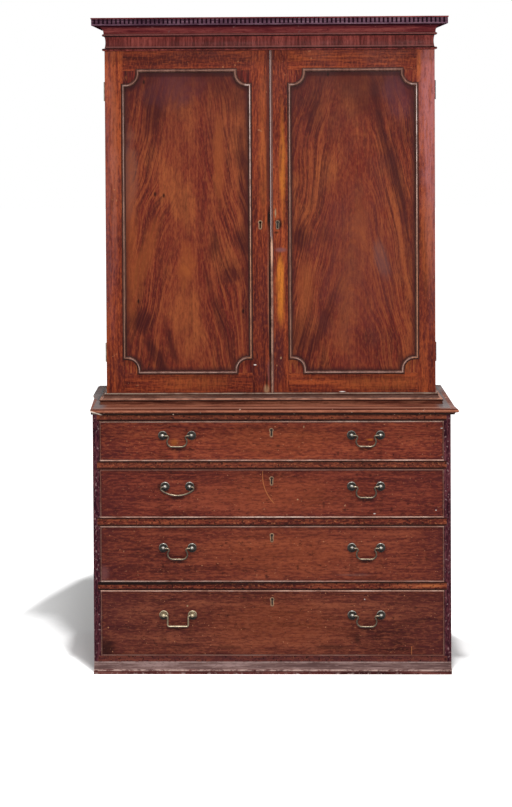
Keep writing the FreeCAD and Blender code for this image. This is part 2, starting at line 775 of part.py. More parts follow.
def make_drawer(number, word, floor, tails, parts):
    name = f"drawer_{number}"
    height = f"drawer_{word}_height"
    half = f"({LOWER_INSIDE} - drawer_gap)"
    low = f"({floor} + drawer_seat_gap)"
    high = f"({floor} + {height} - drawer_gap)"
    rear = f"({LOWER_FRONT} + drawer_front_thick)"
    end = f"({LOWER_BACK_FACE} - drawer_rear_room)"
    side_high = f"({high} - drawer_side_drop)"
    bottom_low = f"({low} + drawer_bottom_rise)"
    bottom_high = f"({bottom_low} + drawer_bottom_thick)"
    groove = f"({half} - drawer_side_thick + drawer_groove)"

    bottom = board(name + "_bottom", (f"-{groove}", f"{rear} - drawer_groove", bottom_low),
                   (groove, end, bottom_high))
    left = make_side(name + "_left_side", low, side_high, tails)
    right = mirrored(name + "_right_side", left)
    back_blank = board(name + "_back_blank", (f"-{half}", f"{end} - drawer_back_thick", bottom_high),
                       (half, end, f"{side_high} - drawer_back_drop"))
    back = cut(name + "_back", back_blank, [left, right])
    grooved = [cut(side.Name + "_grooved", side, [bottom]) for side in (left, right)]
    node(name + "_box", gather(name + "_carcase", grooved + [back, bottom]))

    node(name + "_cockbead", make_cockbead(name + "_bead", low, high))

    key_z = f"({high} - keyhole_drop)"
    key_place = ("0", LOWER_FRONT, key_z)
    lock_high = f"({high} - lock_drop)"
    lock = board(name + "_lock_case",
                 ("-lock_width / 2", f"{rear} - lock_thick", f"{lock_high} - lock_height"),
                 ("lock_width / 2", rear, lock_high))
    lining = placed(name + "_lining", parts["escutcheon"], key_place)
    node(name + "_lock", gather(name + "_lock_pair", [lock, lining]))

    handle_z = f"({floor} + {height} - drawer_{word}_handle_drop)"
    pairs = []
    holes = []
    for hand, sign in (("left", "-"), ("right", "")):
        pair, bail, spacing = parts["handles"][number, hand]
        seat = (f"{sign}handle_offset", LOWER_FRONT, handle_z)
        pairs.append(placed(f"{name}_{hand}_posts", pair, seat))
        hung = (f"{sign}handle_offset", f"{LOWER_FRONT} - post_stand", handle_z)
        node(f"{name}_{hand}_bail", placed(f"{name}_{hand}_hung", bail, hung))
        for turn in ("-", "+"):
            across = f"{sign}handle_offset {turn} {spacing} / 2"
            holes.append(rod(f"{name}_{hand}_hole", "y", (across, f"{LOWER_FRONT} - overrun", handle_z),
                             "shank_radius + shank_clear", "drawer_front_thick + 2 * overrun"))
    node(name + "_handle_posts", gather(name + "_posts", pairs))

    blank = board(name + "_front_blank", (f"-{half}", LOWER_FRONT, low), (half, rear, high))
    inner = f"({half} - bead_thick)"
    field = board(name + "_field", (f"-{inner}", f"{LOWER_FRONT} - overrun", f"{low} + bead_thick"),
                  (inner, f"{LOWER_FRONT} + bead_set", f"{high} - bead_thick"))
    skirt = board(name + "_skirt", (f"-{half} - overrun", f"{LOWER_FRONT} - overrun", f"{low} - overrun"),
                  (f"{half} + overrun", f"{LOWER_FRONT} + bead_set", f"{high} + overrun"))
    rebate = cut(name + "_rebate", skirt, [field])
    keyhole = placed(name + "_keyhole", parts["keyhole"], key_place)
    seat = placed(name + "_seat", parts["seat"], key_place)
    stages = [[rebate], [left, right], [bottom, lock], [keyhole], [seat], holes]
    for stage, tools in enumerate(stages):
        blank = cut(f"{name}_front_{stage}", blank, tools)
    node(name + "_front", blank)


# Upper cupboard.

def make_hinge(name, middle):
    """A left-hand butt hinge: the carcass leaf with its pin, the door leaf, and the room that
    the knuckles turn in."""
    axis_x = f"(-{HALF_UPPER} - hinge_axis_out)"
    axis_y = f"({DOOR_BACK} + door_gap / 2)"
    low = f"({middle} - hinge_length / 2)"
    third = "(hinge_length / 3)"
    near = f"({axis_x} + knuckle_radius + knuckle_room)"
    far = f"(-{HALF_UPPER} + leaf_width)"

    def leaf(part, front, rear, spans):
        pieces = [board(f"{name}_{part}_plate", (near, front, low), (far, rear, f"{low} + hinge_length"))]
        for place, (start, length) in enumerate(spans):
            pieces.append(board(f"{name}_{part}_tongue_{place}", (axis_x, front, start),
                                (f"{near} + overrun", rear, f"{start} + {length}")))
            pieces.append(rod(f"{name}_{part}_knuckle_{place}", "z", (axis_x, axis_y, start),
                              "knuckle_radius", length))
        return pieces

    fixed = leaf("fixed", CARCASS_FRONT, f"{CARCASS_FRONT} + leaf_thick",
                 [(low, third), (f"({low} + 2 * {third})", third)])
    pin = rod(f"{name}_pin", "z", (axis_x, axis_y, low), "hinge_pin_radius", "hinge_length")
    fixed_leaf = fuse(f"{name}_fixed_leaf", fixed + [pin])
    swing = leaf("swing", f"{DOOR_BACK} - leaf_thick", DOOR_BACK,
                 [(f"({low} + {third} + knuckle_gap)", f"({third} - 2 * knuckle_gap)")])
    bore = rod(f"{name}_bore", "z", (axis_x, axis_y, f"{low} - overrun"),
               "hinge_pin_radius + hinge_pin_clear", "hinge_length + 2 * overrun")
    swing_leaf = cut(f"{name}_swing_leaf", fuse(f"{name}_swing_blank", swing), [bore])
    room = rod(f"{name}_room", "z", (axis_x, axis_y, f"{low} - knuckle_room"),
               "knuckle_radius + knuckle_room", "hinge_length + 2 * knuckle_room")
    return fixed_leaf, swing_leaf, room


def make_upper_case(hinges):
    left_fixed = [fixed for fixed, swing, room in hinges]
    rooms = [room for fixed, swing, room in hinges]
    right_fixed = [mirrored(leaf.Name + "_right", leaf) for leaf in left_fixed]
    node("carcass_hinge_leaves", gather("fixed_leaves", left_fixed + right_fixed))

    half = f"({UPPER_INSIDE} + housing_depth)"
    top = board("upper_top", (f"-{half}", CARCASS_FRONT, f"{FRIEZE} - upper_board_thick"),
                (half, UPPER_BACK_FACE, FRIEZE))
    node("upper_top_board", top)
    bottom = board("upper_bottom", (f"-{half}", CARCASS_FRONT, f"{BASE_TOP} - upper_board_thick"),
                   (half, UPPER_BACK_FACE, BASE_TOP))
    rail = board("base_rail", (f"-{HALF_UPPER}", UPPER_FRONT, LEDGE), (HALF_UPPER, CARCASS_FRONT, BASE_TOP))
    node("upper_bottom_board", gather("upper_floor", [bottom, rail]))

    reach = f"({UPPER_INSIDE} + back_rebate)"
    planks = []
    for plank in range(UPPER_PLANKS):
        run = f"(2 * {reach} / {UPPER_PLANKS})"
        planks.append(board(f"upper_plank_{plank}", (f"{plank} * {run} - {reach}", UPPER_BACK_FACE, LEDGE),
                            (f"{plank + 1} * {run} - {reach} - plank_gap", BACK, FRIEZE)))
    node("upper_back_boards", gather("upper_planks", planks))
    rebate = board("upper_rebate", (f"-{reach}", UPPER_BACK_FACE, f"{LEDGE} - overrun"),
                   (reach, f"{BACK} + overrun", f"{FRIEZE} + overrun"))
    blank = board("upper_side_blank", (f"-{HALF_UPPER}", CARCASS_FRONT, LEDGE),
                  (f"-{UPPER_INSIDE}", BACK, FRIEZE))
    left = cut("upper_left_side", blank, [top, bottom, rebate] + left_fixed + rooms)
    node("upper_sides", gather("upper_side_pair", [left, mirrored("upper_right_side", left)]))


def make_crown():
    """Base moulding, hollow frieze between two beads, coved cornice and its dentil course."""
    bead = "(base_cap_reach + base_cove)"
    shoulder = "(base_fascia_height + 2 * base_bead)"
    cap = f"({shoulder} + base_cove)"
    cap_in = "(base_cap_reach - base_cap)"
    node("base_moulding", wrap_moulding("base", HALF_UPPER, UPPER_FRONT, LEDGE, [
        (bead, "0"),
        (bead, "base_fascia_height"),
        (bead, shoulder, bead, "base_fascia_height + base_bead", 1),
        ("base_cap_reach", cap, bead, cap, -1),
        (cap_in, cap),
        (cap_in, f"{cap} + 2 * base_cap", cap_in, f"{cap} + base_cap", 1),
        ("0", f"{cap} + 2 * base_cap"),
        ("0", "0"),
    ]))

    lower_bead = "(2 * frieze_bead)"
    upper_bead = f"({lower_bead} + frieze_face)"
    middle = f"({lower_bead} + frieze_face / 2)"
    hollow = "((frieze_face * frieze_face / 4 - frieze_hollow * frieze_hollow) / (2 * frieze_hollow))"
    node("frieze", wrap_moulding("frieze_frame", HALF_UPPER, UPPER_FRONT, FRIEZE, [
        ("frieze_land", "0"),
        ("frieze_land", lower_bead, "frieze_land", "frieze_bead", 1),
        ("0", lower_bead),
        ("0", upper_bead, hollow, middle, -1),
        ("frieze_land", upper_bead),
        ("frieze_land", FRIEZE_HEIGHT, "frieze_land", f"{upper_bead} + frieze_bead", 1),
        ("-frieze_thick", FRIEZE_HEIGHT),
        ("-frieze_thick", "0"),
    ]))

    spring = "(cornice_neck + cornice_cove)"
    fascia = f"({spring} + cornice_soffit)"
    fascia_top = f"({spring} + cornice_fascia)"
    cap_out = f"({fascia} + cornice_cap_reach)"
    top = f"({fascia_top} + cornice_cap_height)"
    node("cornice_moulding", wrap_moulding("cornice", HALF_UPPER, UPPER_FRONT, CORNICE, [
        ("cornice_neck", "0"),
        ("cornice_neck", "cornice_neck"),
        (spring, spring, spring, "cornice_neck", -1),
        (fascia, spring),
        (fascia, fascia_top),
        (cap_out, fascia_top),
        (cap_out, top),
        ("-frieze_thick", top),
        ("-frieze_thick", "0"),
    ]))
    make_dentils(fascia, spring, fascia_top)


def make_dentil_strip(name, plane, start, end, low, high, face, outward):
    """A strip with a row of slots that leaves the dentils standing on a narrow foot. outward
    is the side of the sketch plane that the dentils face."""
    body = new_body(name)
    strip = new_sketch(body, name + "_strip", plane, face)
    rectangle(strip, (start, low), (end, high))
    pad(body, strip, "dentil_thick", back=outward < 0)
    sign = "+" if outward > 0 else "-"
    slot = new_sketch(body, name + "_slot", plane, f"{face} {sign} dentil_thick")
    first = f"({start} + dentil_width)"
    rectangle(slot, (first, f"{low} + dentil_foot"), (f"{first} + dentil_gap", high))
    pocket = body.newObject("PartDesign::Pocket", name + "_pocket")
    pocket.Profile = slot
    bind(pocket, "Length", "dentil_cut")
    pocket.Reversed = outward < 0
    pitch = "(dentil_width + dentil_gap)"
    count = int((size(f"{end} - ({start})") - size("dentil_width")) // size(pitch))
    row = body.newObject("PartDesign::LinearPattern", name + "_row")
    row.Originals = [pocket]
    row.Direction = (slot, ["H_Axis"])
    bind(row, "Length", f"{pitch} * {count - 1}")
    row.Occurrences = count
    body.Tip = row
    return body


def make_dentils(fascia, low, high):
    low = f"{CORNICE} + {low}"
    high = f"{CORNICE} + {high}"
    corner = f"({HALF_UPPER} + {fascia} + dentil_thick)"
    front = make_dentil_strip("front_dentils", "XZ_Plane", f"-{corner}", corner, low, high,
                              f"{fascia} - {UPPER_FRONT}", 1)
    left = make_dentil_strip("left_dentils", "YZ_Plane", f"{UPPER_FRONT} - {fascia}", BACK, low, high,
                             f"-{HALF_UPPER} - {fascia}", -1)
    node("dentil_course", gather("dentils", [front, left, mirrored("right_dentils", left)]))


# Doors.

def make_door_moulding(name):
    """The planted moulding of the left door: a bead between fillets, mitred at small square
    ears, with a hollow quarter round at each corner. The route is its middle line."""
    body = new_body(name)
    left = f"(-{HALF_UPPER} + moulding_hinge_inset)"
    right = f"(-{MEETING} - moulding_meeting_inset)"
    low = f"({DOOR_LOW} + moulding_bottom_inset)"
    high = f"({DOOR_HIGH} - moulding_top_inset)"
    middle = f"(({left} + {right}) / 2)"
    ear = "moulding_ear"
    deep = "(moulding_ear + moulding_corner)"
    route = new_sketch(body, name + "_route", "XZ_Plane", f"-{UPPER_FRONT}")
    add_run(route, (middle, low), [
        (f"{right} - {deep}", low),
        (f"{right} - {deep}", f"{low} + {ear}"),
        (f"{right} - {ear}", f"{low} + {deep}", f"{right} - {ear}", f"{low} + {ear}", -1),
        (right, f"{low} + {deep}"),
        (right, f"{high} - {deep}"),
        (f"{right} - {ear}", f"{high} - {deep}"),
        (f"{right} - {deep}", f"{high} - {ear}", f"{right} - {ear}", f"{high} - {ear}", -1),
        (f"{right} - {deep}", high),
        (f"{left} + {deep}", high),
        (f"{left} + {deep}", f"{high} - {ear}"),
        (f"{left} + {ear}", f"{high} - {deep}", f"{left} + {ear}", f"{high} - {ear}", -1),
        (left, f"{high} - {deep}"),
        (left, f"{low} + {deep}"),
        (f"{left} + {ear}", f"{low} + {deep}"),
        (f"{left} + {deep}", f"{low} + {ear}", f"{left} + {ear}", f"{low} + {ear}", -1),
        (f"{left} + {deep}", low),
        (middle, low),
    ])
    section = new_sketch(body, name + "_section", "YZ_Plane", middle)
    half = "(moulding_width / 2)"
    step = f"({UPPER_FRONT} - moulding_fillet)"
    add_run(section, (UPPER_FRONT, f"{low} - {half}"), [
        (UPPER_FRONT, f"{low} + {half}"),
        (step, f"{low} + {half}"),
        (step, f"{low} + moulding_bead"),
        (step, f"{low} - moulding_bead", step, low, 1),
        (step, f"{low} - {half}"),
        (UPPER_FRONT, f"{low} - {half}"),
    ])
    sweep(body, section, route, "Right corner")
    return body


def make_doors(hinges, parts):
    left_edge = f"(-{HALF_UPPER})"
    meeting = f"(-{MEETING})"
    opening_left = f"({left_edge} + stile_width)"
    opening_right = f"({meeting} - stile_width)"
    opening_low = f"({DOOR_LOW} + door_rail_height)"
    opening_high = f"({DOOR_HIGH} - door_rail_height)"
    heart = f"({UPPER_FRONT} + door_thick / 2)"
    swing = [leaf for fixed, leaf, room in hinges]
    rooms = [room for fixed, leaf, room in hinges]

    tongue_half = "panel_tongue_thick / 2"
    tongue_low = (f"{opening_left} - panel_tongue", f"{heart} - {tongue_half}",
                  f"{opening_low} - panel_tongue")
    tongue_high = (f"{opening_right} + panel_tongue", f"{heart} + {tongue_half}",
                   f"{opening_high} + panel_tongue")
    tongue = board("panel_tongue_board", tongue_low, tongue_high)
    field = board("panel_field", (opening_left, f"{UPPER_FRONT} + panel_recess", opening_low),
                  (opening_right, f"{UPPER_FRONT} + panel_recess + panel_thick", opening_high))
    panel = fuse("left_panel", [field, tongue])

    rails = []
    tenons = []
    for place, (low, high) in enumerate(((DOOR_LOW, opening_low), (opening_high, DOOR_HIGH))):
        rail = board(f"door_rail_{place}", (opening_left, UPPER_FRONT, low),
                     (opening_right, DOOR_BACK, high))
        shy = f"({high} - {low}) / 6"
        tenon_low = (f"{opening_left} - tenon_length", f"{heart} - tenon_thick / 2", f"{low} + {shy}")
        tenon_high = (f"{opening_right} + tenon_length", f"{heart} + tenon_thick / 2", f"{high} - {shy}")
        tenon = board(f"door_tenon_{place}", tenon_low, tenon_high)
        rails.append(cut(f"left_rail_{place}", fuse(f"door_rail_blank_{place}", [rail, tenon]), [tongue]))
        tenons.append(tenon)
    hinge_blank = board("hinge_stile_blank", (left_edge, UPPER_FRONT, DOOR_LOW),
                        (opening_left, DOOR_BACK, DOOR_HIGH))
    hinge_stile = cut("left_hinge_stile", hinge_blank, tenons + [tongue] + swing + rooms)
    meeting_blank = board("meeting_stile_blank", (opening_right, UPPER_FRONT, DOOR_LOW),
                          (meeting, DOOR_BACK, DOOR_HIGH))
    meeting_stile = cut("plain_meeting_stile", meeting_blank, tenons + [tongue])
    moulding = make_door_moulding("left_planted_moulding")

    key_z = f"({DOOR_LOW} + door_keyhole_height)"
    left_key = ("-left_keyhole_inset", UPPER_FRONT, key_z)
    left_hole = placed("left_door_keyhole", parts["keyhole"], left_key)
    left_seat = placed("left_door_seat", parts["seat"], left_key)
    left_stile = cut("left_seated_stile", cut("left_bored_stile", meeting_stile, [left_hole]), [left_seat])
    node("left_door_frame", gather("left_frame", [hinge_stile, left_stile] + rails))
    node("left_door_panel", panel)
    node("left_door_moulding", moulding)
    node("left_door_escutcheon", placed("left_lining", parts["escutcheon"], left_key))
    node("left_door_hinge_leaves", gather("left_leaves", swing))

    right_key = ("right_keyhole_inset", UPPER_FRONT, key_z)
    right_hole = placed("right_door_keyhole", parts["keyhole"], right_key)
    right_seat = placed("right_door_seat", parts["seat"], right_key)
    lock = board("right_lock_case", (MEETING, f"{DOOR_BACK} - lock_thick", f"{key_z} - lock_height / 2"),
                 (f"{MEETING} + stile_width - panel_tongue", DOOR_BACK, f"{key_z} + lock_height / 2"))
    right_blank = mirrored("right_meeting_blank", meeting_stile)
    right_bored = cut("right_bored_stile", right_blank, [right_hole])
    right_stile = cut("right_seated_stile", right_bored, [right_seat])
    right_locked = cut("right_locked_stile", right_stile, [lock])
    others = [mirrored(piece.Name + "_right", piece) for piece in [hinge_stile] + rails]
    node("right_door_frame", gather("right_frame", others + [right_locked]))
    node("right_door_panel", mirrored("right_panel", panel))
    node("right_door_moulding", mirrored("right_planted_moulding", moulding))
    lining = placed("right_lining", parts["escutcheon"], right_key)
    node("right_door_lock", gather("right_lock", [lock, lining]))
    right_swing = [mirrored(leaf.Name + "_right", leaf) for leaf in swing]
    node("right_door_hinge_leaves", gather("right_leaves", right_swing))
    make_meeting_bead()


def make_meeting_bead():
    """The half-round bead down the meeting edge of the right door."""
    body = new_body("meeting_bead_body")
    sketch = new_sketch(body, "meeting_bead_section", "XY_Plane", DOOR_LOW)
    start = MEETING
    end = f"({MEETING} + meeting_bead_width)"
    middle = f"({MEETING} + meeting_bead_width / 2)"
    half = "(meeting_bead_width / 2)"
    lift = f"(({half} * {half} - meeting_bead_proud * meeting_bead_proud) / (2 * meeting_bead_proud))"
    add_run(sketch, (end, UPPER_FRONT), [
        (start, UPPER_FRONT),
        (end, UPPER_FRONT, middle, f"{UPPER_FRONT} + {lift}", 1),
    ])
    pad(body, sketch, "door_height")
    node("right_door_meeting_bead", body)


# Trays.

def make_trays():
    half = f"({UPPER_INSIDE} - tray_side_gap)"
    front = f"({CARCASS_FRONT} + tray_front_room)"
    rear = f"({UPPER_BACK_FACE} - tray_rear_room)"
    inner = f"({half} - tray_wall)"
    scoop = "(tray_height - tray_front_height)"
    lip = f"({front} + tray_scoop_setback)"
    runners = []
    for number in range(1, TRAYS + 1):
        name = f"tray_{number}"
        seat = f"({BASE_TOP} + tray_first_rise + {TRAYS - number} * tray_pitch)"
        low = f"({seat} + tray_seat_gap)"
        floor = f"({low} + tray_bottom)"
        top = f"({low} + tray_height)"
        brow = f"({low} + tray_front_height)"
        runner = board(f"runner_{number}", (f"-{UPPER_INSIDE}", front, f"{seat} - runner_height"),
                       (f"-{UPPER_INSIDE} + runner_width", UPPER_BACK_FACE, seat))
        runners += [runner, mirrored(f"runner_{number}_right", runner)]

        body = new_body(name + "_left_side")
        sketch = new_sketch(body, name + "_side_outline", "YZ_Plane", f"-{half}")
        add_run(sketch, (front, floor), [
            (rear, floor),
            (rear, top),
            (f"{lip} + {scoop}", top),
            (lip, brow, lip, top, -1),
            (front, brow),
            (front, floor),
        ])
        pad(body, sketch, "tray_wall")
        pieces = [body, mirrored(name + "_right_side", body)]
        pieces.append(board(name + "_floor", (f"-{half}", front, low), (half, rear, floor)))
        pieces.append(board(name + "_brow", (f"-{inner}", front, floor),
                            (inner, f"{front} + tray_wall", brow)))
        pieces.append(board(name + "_rear", (f"-{inner}", f"{rear} - tray_wall", floor),
                            (inner, rear, top)))
        node(name, gather(name + "_pieces", pieces))
    node("tray_runners", gather("runners", runners))


def make_handles(post):
    """Which posts and bail each drawer carries. Two of the bails are old replacements."""
    wide = make_pair("wide_posts", post, "post_spacing")
    narrow = make_pair("narrow_posts", post, "bow_post_spacing")
    swan = make_bail("swan_bail", "post_spacing", swan_run, 1)
    square = make_bail("square_bail", "post_spacing", square_run, 1)
    bow = make_bail("bow_bail", "bow_post_spacing", bow_run, -1)
    handles = {(number, hand): (wide, swan, "post_spacing")
               for number in range(1, 5) for hand in ("left", "right")}
    handles[2, "left"] = (narrow, bow, "bow_post_spacing")
    handles[4, "left"] = (wide, square, "post_spacing")
    return handles


def make_press():
    parts = {
        "keyhole": make_keyhole_tool(),
        "escutcheon": make_escutcheon(),
        "seat": make_escutcheon_seat(),
        "handles": make_handles(make_post()),
    }
    make_lower_case()
    make_drawer(1, "one", FLOOR_ONE, 3, parts)
    make_drawer(2, "two", FLOOR_TWO, 3, parts)
    make_drawer(3, "three", FLOOR_THREE, 4, parts)
    make_drawer(4, "four", FLOOR_FOUR, 5, parts)
    hinges = [make_hinge("lower_hinge", f"({DOOR_LOW} + hinge_inset)"),
              make_hinge("upper_hinge", f"({DOOR_HIGH} - hinge_inset)")]
    make_upper_case(hinges)
    make_crown()
    make_doors(hinges, parts)
    make_trays()
    doc.recompute()


def write_parts():
    failed = [item.Name for item in doc.Objects if {"Invalid", "Error"} & set(item.State)]
    if failed:
        raise RuntimeError("these did not build: " + ", ".join(failed))
    for name, feature in NODES.items():
        shape = feature.Shape
        if shape.isNull() or not shape.isValid() or not shape.Solids:
            raise RuntimeError(name + " has no valid solid")
    os.makedirs("parts", exist_ok=True)
    for name, feature in NODES.items():
        solids = feature.Shape.Solids
        whole = solids[0] if len(solids) == 1 else Part.makeCompound(solids)
        whole.exportStep(f"parts/{name}.step")
    print(len(NODES), "sub-parts written")


make_press()
write_parts()
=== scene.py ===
# %% [markdown]
# # Dressing a linen press
# A linen press is a cupboard with panelled doors standing on a chest of drawers. The solids come
# ready from the imported CAD model, in metres and in place, so this lesson gives them a studio, a
# camera, old mahogany and tarnished brass, and then models the small fixings that the solids leave
# out.

# %% Load the press
import math
from collections import namedtuple
from functools import reduce

import bmesh
import bpy
from mathutils import Matrix, Vector


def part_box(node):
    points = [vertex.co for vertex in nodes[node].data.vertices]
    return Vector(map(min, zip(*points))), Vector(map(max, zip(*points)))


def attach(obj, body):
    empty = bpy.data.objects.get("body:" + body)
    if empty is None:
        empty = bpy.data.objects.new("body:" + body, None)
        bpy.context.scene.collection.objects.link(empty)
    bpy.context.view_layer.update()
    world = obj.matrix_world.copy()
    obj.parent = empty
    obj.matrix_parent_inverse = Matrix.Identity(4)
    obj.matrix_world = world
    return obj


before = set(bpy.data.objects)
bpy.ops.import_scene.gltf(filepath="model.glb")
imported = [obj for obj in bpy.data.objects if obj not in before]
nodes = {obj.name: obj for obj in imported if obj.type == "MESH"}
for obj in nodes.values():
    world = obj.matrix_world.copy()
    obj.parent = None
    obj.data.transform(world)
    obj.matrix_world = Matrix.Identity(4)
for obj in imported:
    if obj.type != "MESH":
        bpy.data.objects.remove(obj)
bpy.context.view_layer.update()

DRAWERS = (1, 2, 3, 4)
SIDES = {"left": -1, "right": 1}

# %% [markdown]
# ## The camera
# In the picture every upright stays parallel, as with a view camera whose front has been lowered:
# the lens looks almost level from just under the cornice, and the frame slides down to take in the
# floor. Blender's camera shift does the same. The lens is tipped down by only a degree and a half,
# because tipping it further would make the sides of the press converge.

# %% Camera
PHOTO_WIDTH = 512
PHOTO_HEIGHT = 807
SENSOR_WIDTH = 36
LENS_PIXELS = 2072
AXIS_PIXEL = (205.9, 157.8)
EYE = Vector((-0.043, -7.073, 1.882))
EYE_YAW = math.radians(1.41)
EYE_TIP = math.radians(1.5)
EYE_ROLL = math.radians(-0.33)

camera_data = bpy.data.cameras.new("press_camera")
camera_data.sensor_fit = "HORIZONTAL"
camera_data.sensor_width = SENSOR_WIDTH
camera_data.lens = SENSOR_WIDTH * LENS_PIXELS / PHOTO_WIDTH
camera_data.shift_x = (PHOTO_WIDTH / 2 - AXIS_PIXEL[0]) / PHOTO_WIDTH
camera_data.shift_y = (AXIS_PIXEL[1] - PHOTO_HEIGHT / 2) / PHOTO_WIDTH
camera = bpy.data.objects.new("press_camera", camera_data)
bpy.context.collection.objects.link(camera)
turn = Matrix.Rotation(EYE_YAW, 4, "Z")
tip = Matrix.Rotation(math.pi / 2 - EYE_TIP, 4, "X")
roll = Matrix.Rotation(EYE_ROLL, 4, "Z")
camera.matrix_world = Matrix.Translation(EYE) @ turn @ tip @ roll
bpy.context.scene.camera = camera
bpy.context.scene.view_settings.view_transform = "Standard"
print("lens", round(camera_data.lens, 1), "mm")

# %% [markdown]
# ## Wires between shader nodes
# Every finish below is a tree of shader nodes. A wire carries what one node hands to the next: a
# number, a colour or a place. Here a wire also does sums, so that a * b adds a Multiply node and
# abs(a) an Absolute node, and a finish reads like a formula instead of a list of nodes.

# %% Wires
class Wire:
    """What one shader node hands to the next. A sum of wires adds the Math nodes for it."""

    def __init__(self, tree, socket):
        self.tree = tree
        self.socket = socket

    def __add__(self, other):
        return calc("ADD", self, other)

    def __sub__(self, other):
        return calc("SUBTRACT", self, other)

    def __rsub__(self, other):
        return calc("SUBTRACT", other, self)

    def __mul__(self, other):
        return calc("MULTIPLY", self, other)

    def __truediv__(self, other):
        return calc("DIVIDE", self, other)

    def __pow__(self, other):
        return calc("POWER", self, other)

    def __abs__(self):
        return calc("ABSOLUTE", self)

    def __gt__(self, other):
        return calc("GREATER_THAN", self, other)

    def __lt__(self, other):
        return calc("LESS_THAN", self, other)

    __radd__ = __add__
    __rmul__ = __mul__


def tree_of(*values):
    return next(value.tree for value in values if isinstance(value, Wire))


def plug(tree, socket, value):
    if isinstance(value, Wire):
        tree.links.new(value.socket, socket)
    else:
        socket.default_value = value


def add(tree, kind, sockets=None, **settings):
    made = tree.nodes.new("ShaderNode" + kind)
    for name, value in settings.items():
        setattr(made, name, value)
    for name, value in (sockets or {}).items():
        plug(tree, made.inputs[name], value)
    return made


def calc(operation, first, second=0.0):
    tree = tree_of(first, second)
    made = add(tree, "Math", operation=operation)
    for socket, value in zip(made.inputs, (first, second)):
        plug(tree, socket, value)
    return Wire(tree, made.outputs[0])


def least(*values):
    return reduce(lambda first, second: calc("MINIMUM", first, second), values)


def most(*values):
    return reduce(lambda first, second: calc("MAXIMUM", first, second), values)


print("wires ready")

# %% [markdown]
# ## Colours, places and noise
# Colours are written as the 0-255 levels of a screen and made linear here. The other helpers ease a
# value from one range to another, lay a colour over another, spread a value over a ramp of colours,
# make noise, and start a finish by asking where on the press each point lies.

# %% Shader helpers
MIX_INPUTS = (0, 6, 7)
MIX_COLOUR = 2
Place = namedtuple("Place", "x y z")


def tone(red, green, blue):
    def linear(part):
        part = part / 255
        return part / 12.92 if part <= 0.04045 else ((part + 0.055) / 1.055) ** 2.4
    return (linear(red), linear(green), linear(blue), 1)


def ease(value, low, high, start=0.0, end=1.0):
    """Goes from start to end as the value goes from low to high, gently at both ends."""
    sockets = {"Value": value, "From Min": low, "From Max": high, "To Min": start, "To Max": end}
    made = add(value.tree, "MapRange", sockets, interpolation_type="SMOOTHSTEP")
    return Wire(value.tree, made.outputs[0])


def lay(share, under, over):
    """Lays a share of one colour over another."""
    tree = tree_of(share, under, over)
    made = add(tree, "Mix", data_type="RGBA")
    for index, value in zip(MIX_INPUTS, (share, under, over)):
        plug(tree, made.inputs[index], value)
    return Wire(tree, made.outputs[MIX_COLOUR])


def ramp(value, stops):
    made = add(value.tree, "ValToRGB", {"Fac": value})
    band = made.color_ramp
    while len(band.elements) < len(stops):
        band.elements.new(1.0)
    for element, (position, colour) in zip(band.elements, stops):
        element.position = position
        element.color = colour
    return Wire(value.tree, made.outputs[0])


def vector(x, y, z):
    tree = tree_of(x, y, z)
    return Wire(tree, add(tree, "CombineXYZ", {"X": x, "Y": y, "Z": z}).outputs[0])


def noise(where, scale=1.0, detail=4.0, rough=0.55, twist=0.0):
    sockets = {"Vector": where, "Scale": scale, "Detail": detail, "Roughness": rough, "Distortion": twist}
    return Wire(where.tree, add(where.tree, "TexNoise", sockets).outputs["Fac"])


def blotches(place, scale, detail, rough):
    return noise(vector(*place), scale, detail, rough)


def split(tree, output):
    """The x, y and z of what Texture Coordinate gives."""
    source = Wire(tree, add(tree, "TexCoord").outputs[output])
    parts = add(tree, "SeparateXYZ", {"Vector": source}).outputs
    return Place(*(Wire(tree, parts[axis]) for axis in "XYZ"))


def start_finish(name):
    finish = bpy.data.materials.new(name)
    finish.use_nodes = True
    return finish, split(finish.node_tree, "Object")


def facing(place):
    """The way a face looks; the back of the press looks along y."""
    return split(place.x.tree, "Normal")


def looks_back(place):
    return facing(place).y > 0.5


print("shader helpers ready")

# %% [markdown]
# ## The studio
# The picture was cut out on white, with its shadow trimmed to two soft triangles beside the press.
# A lamp high overhead casts the shadow, a broad one in front and above gives the timber its light,
# and the white sky fills in. The floor glows white for the camera, which is how a light table hides
# shadows, and glows less between five straight lines, so the cast shadow shows only there.

# %% Floor, sky and lamps
FLOOR_SIZE = 60.0
SHADE_GLOW = (0.2, 0.42)
SHADE_REACH = (0.6, 0.95)
SHADE_BLUR = 0.035
SHADE_LINES = [
    ((-0.59, -0.27), (-0.95, 0.49)),
    ((-0.95, 0.49), (-0.70, 1.24)),
    ((0.66, 0.20), (0.76, 0.06)),
    ((0.76, 0.06), (0.59, -0.27)),
    ((0.59, -0.27), (-0.59, -0.27)),
]
SKY_FILL = 0.20
WHITE = (1, 1, 1, 1)
PALE_GREY = (0.8, 0.8, 0.8, 1)


def seen_white(tree):
    """1 where the camera, a reflection or a clear surface looks, 0 where only light falls."""
    rays = add(tree, "LightPath").outputs
    return most(*(Wire(tree, rays[f"Is {kind} Ray"]) for kind in ("Camera", "Glossy", "Transmission")))


def right_of(spot, start, end):
    """1 on the right of the line from start to end, 0 on its left, with a soft edge."""
    run = Vector(end) - Vector(start)
    east, north = run.y / run.length, -run.x / run.length
    offset = -(start[0] * east + start[1] * north)
    return ease(spot.x * east + spot.y * north + offset, -SHADE_BLUR, SHADE_BLUR)


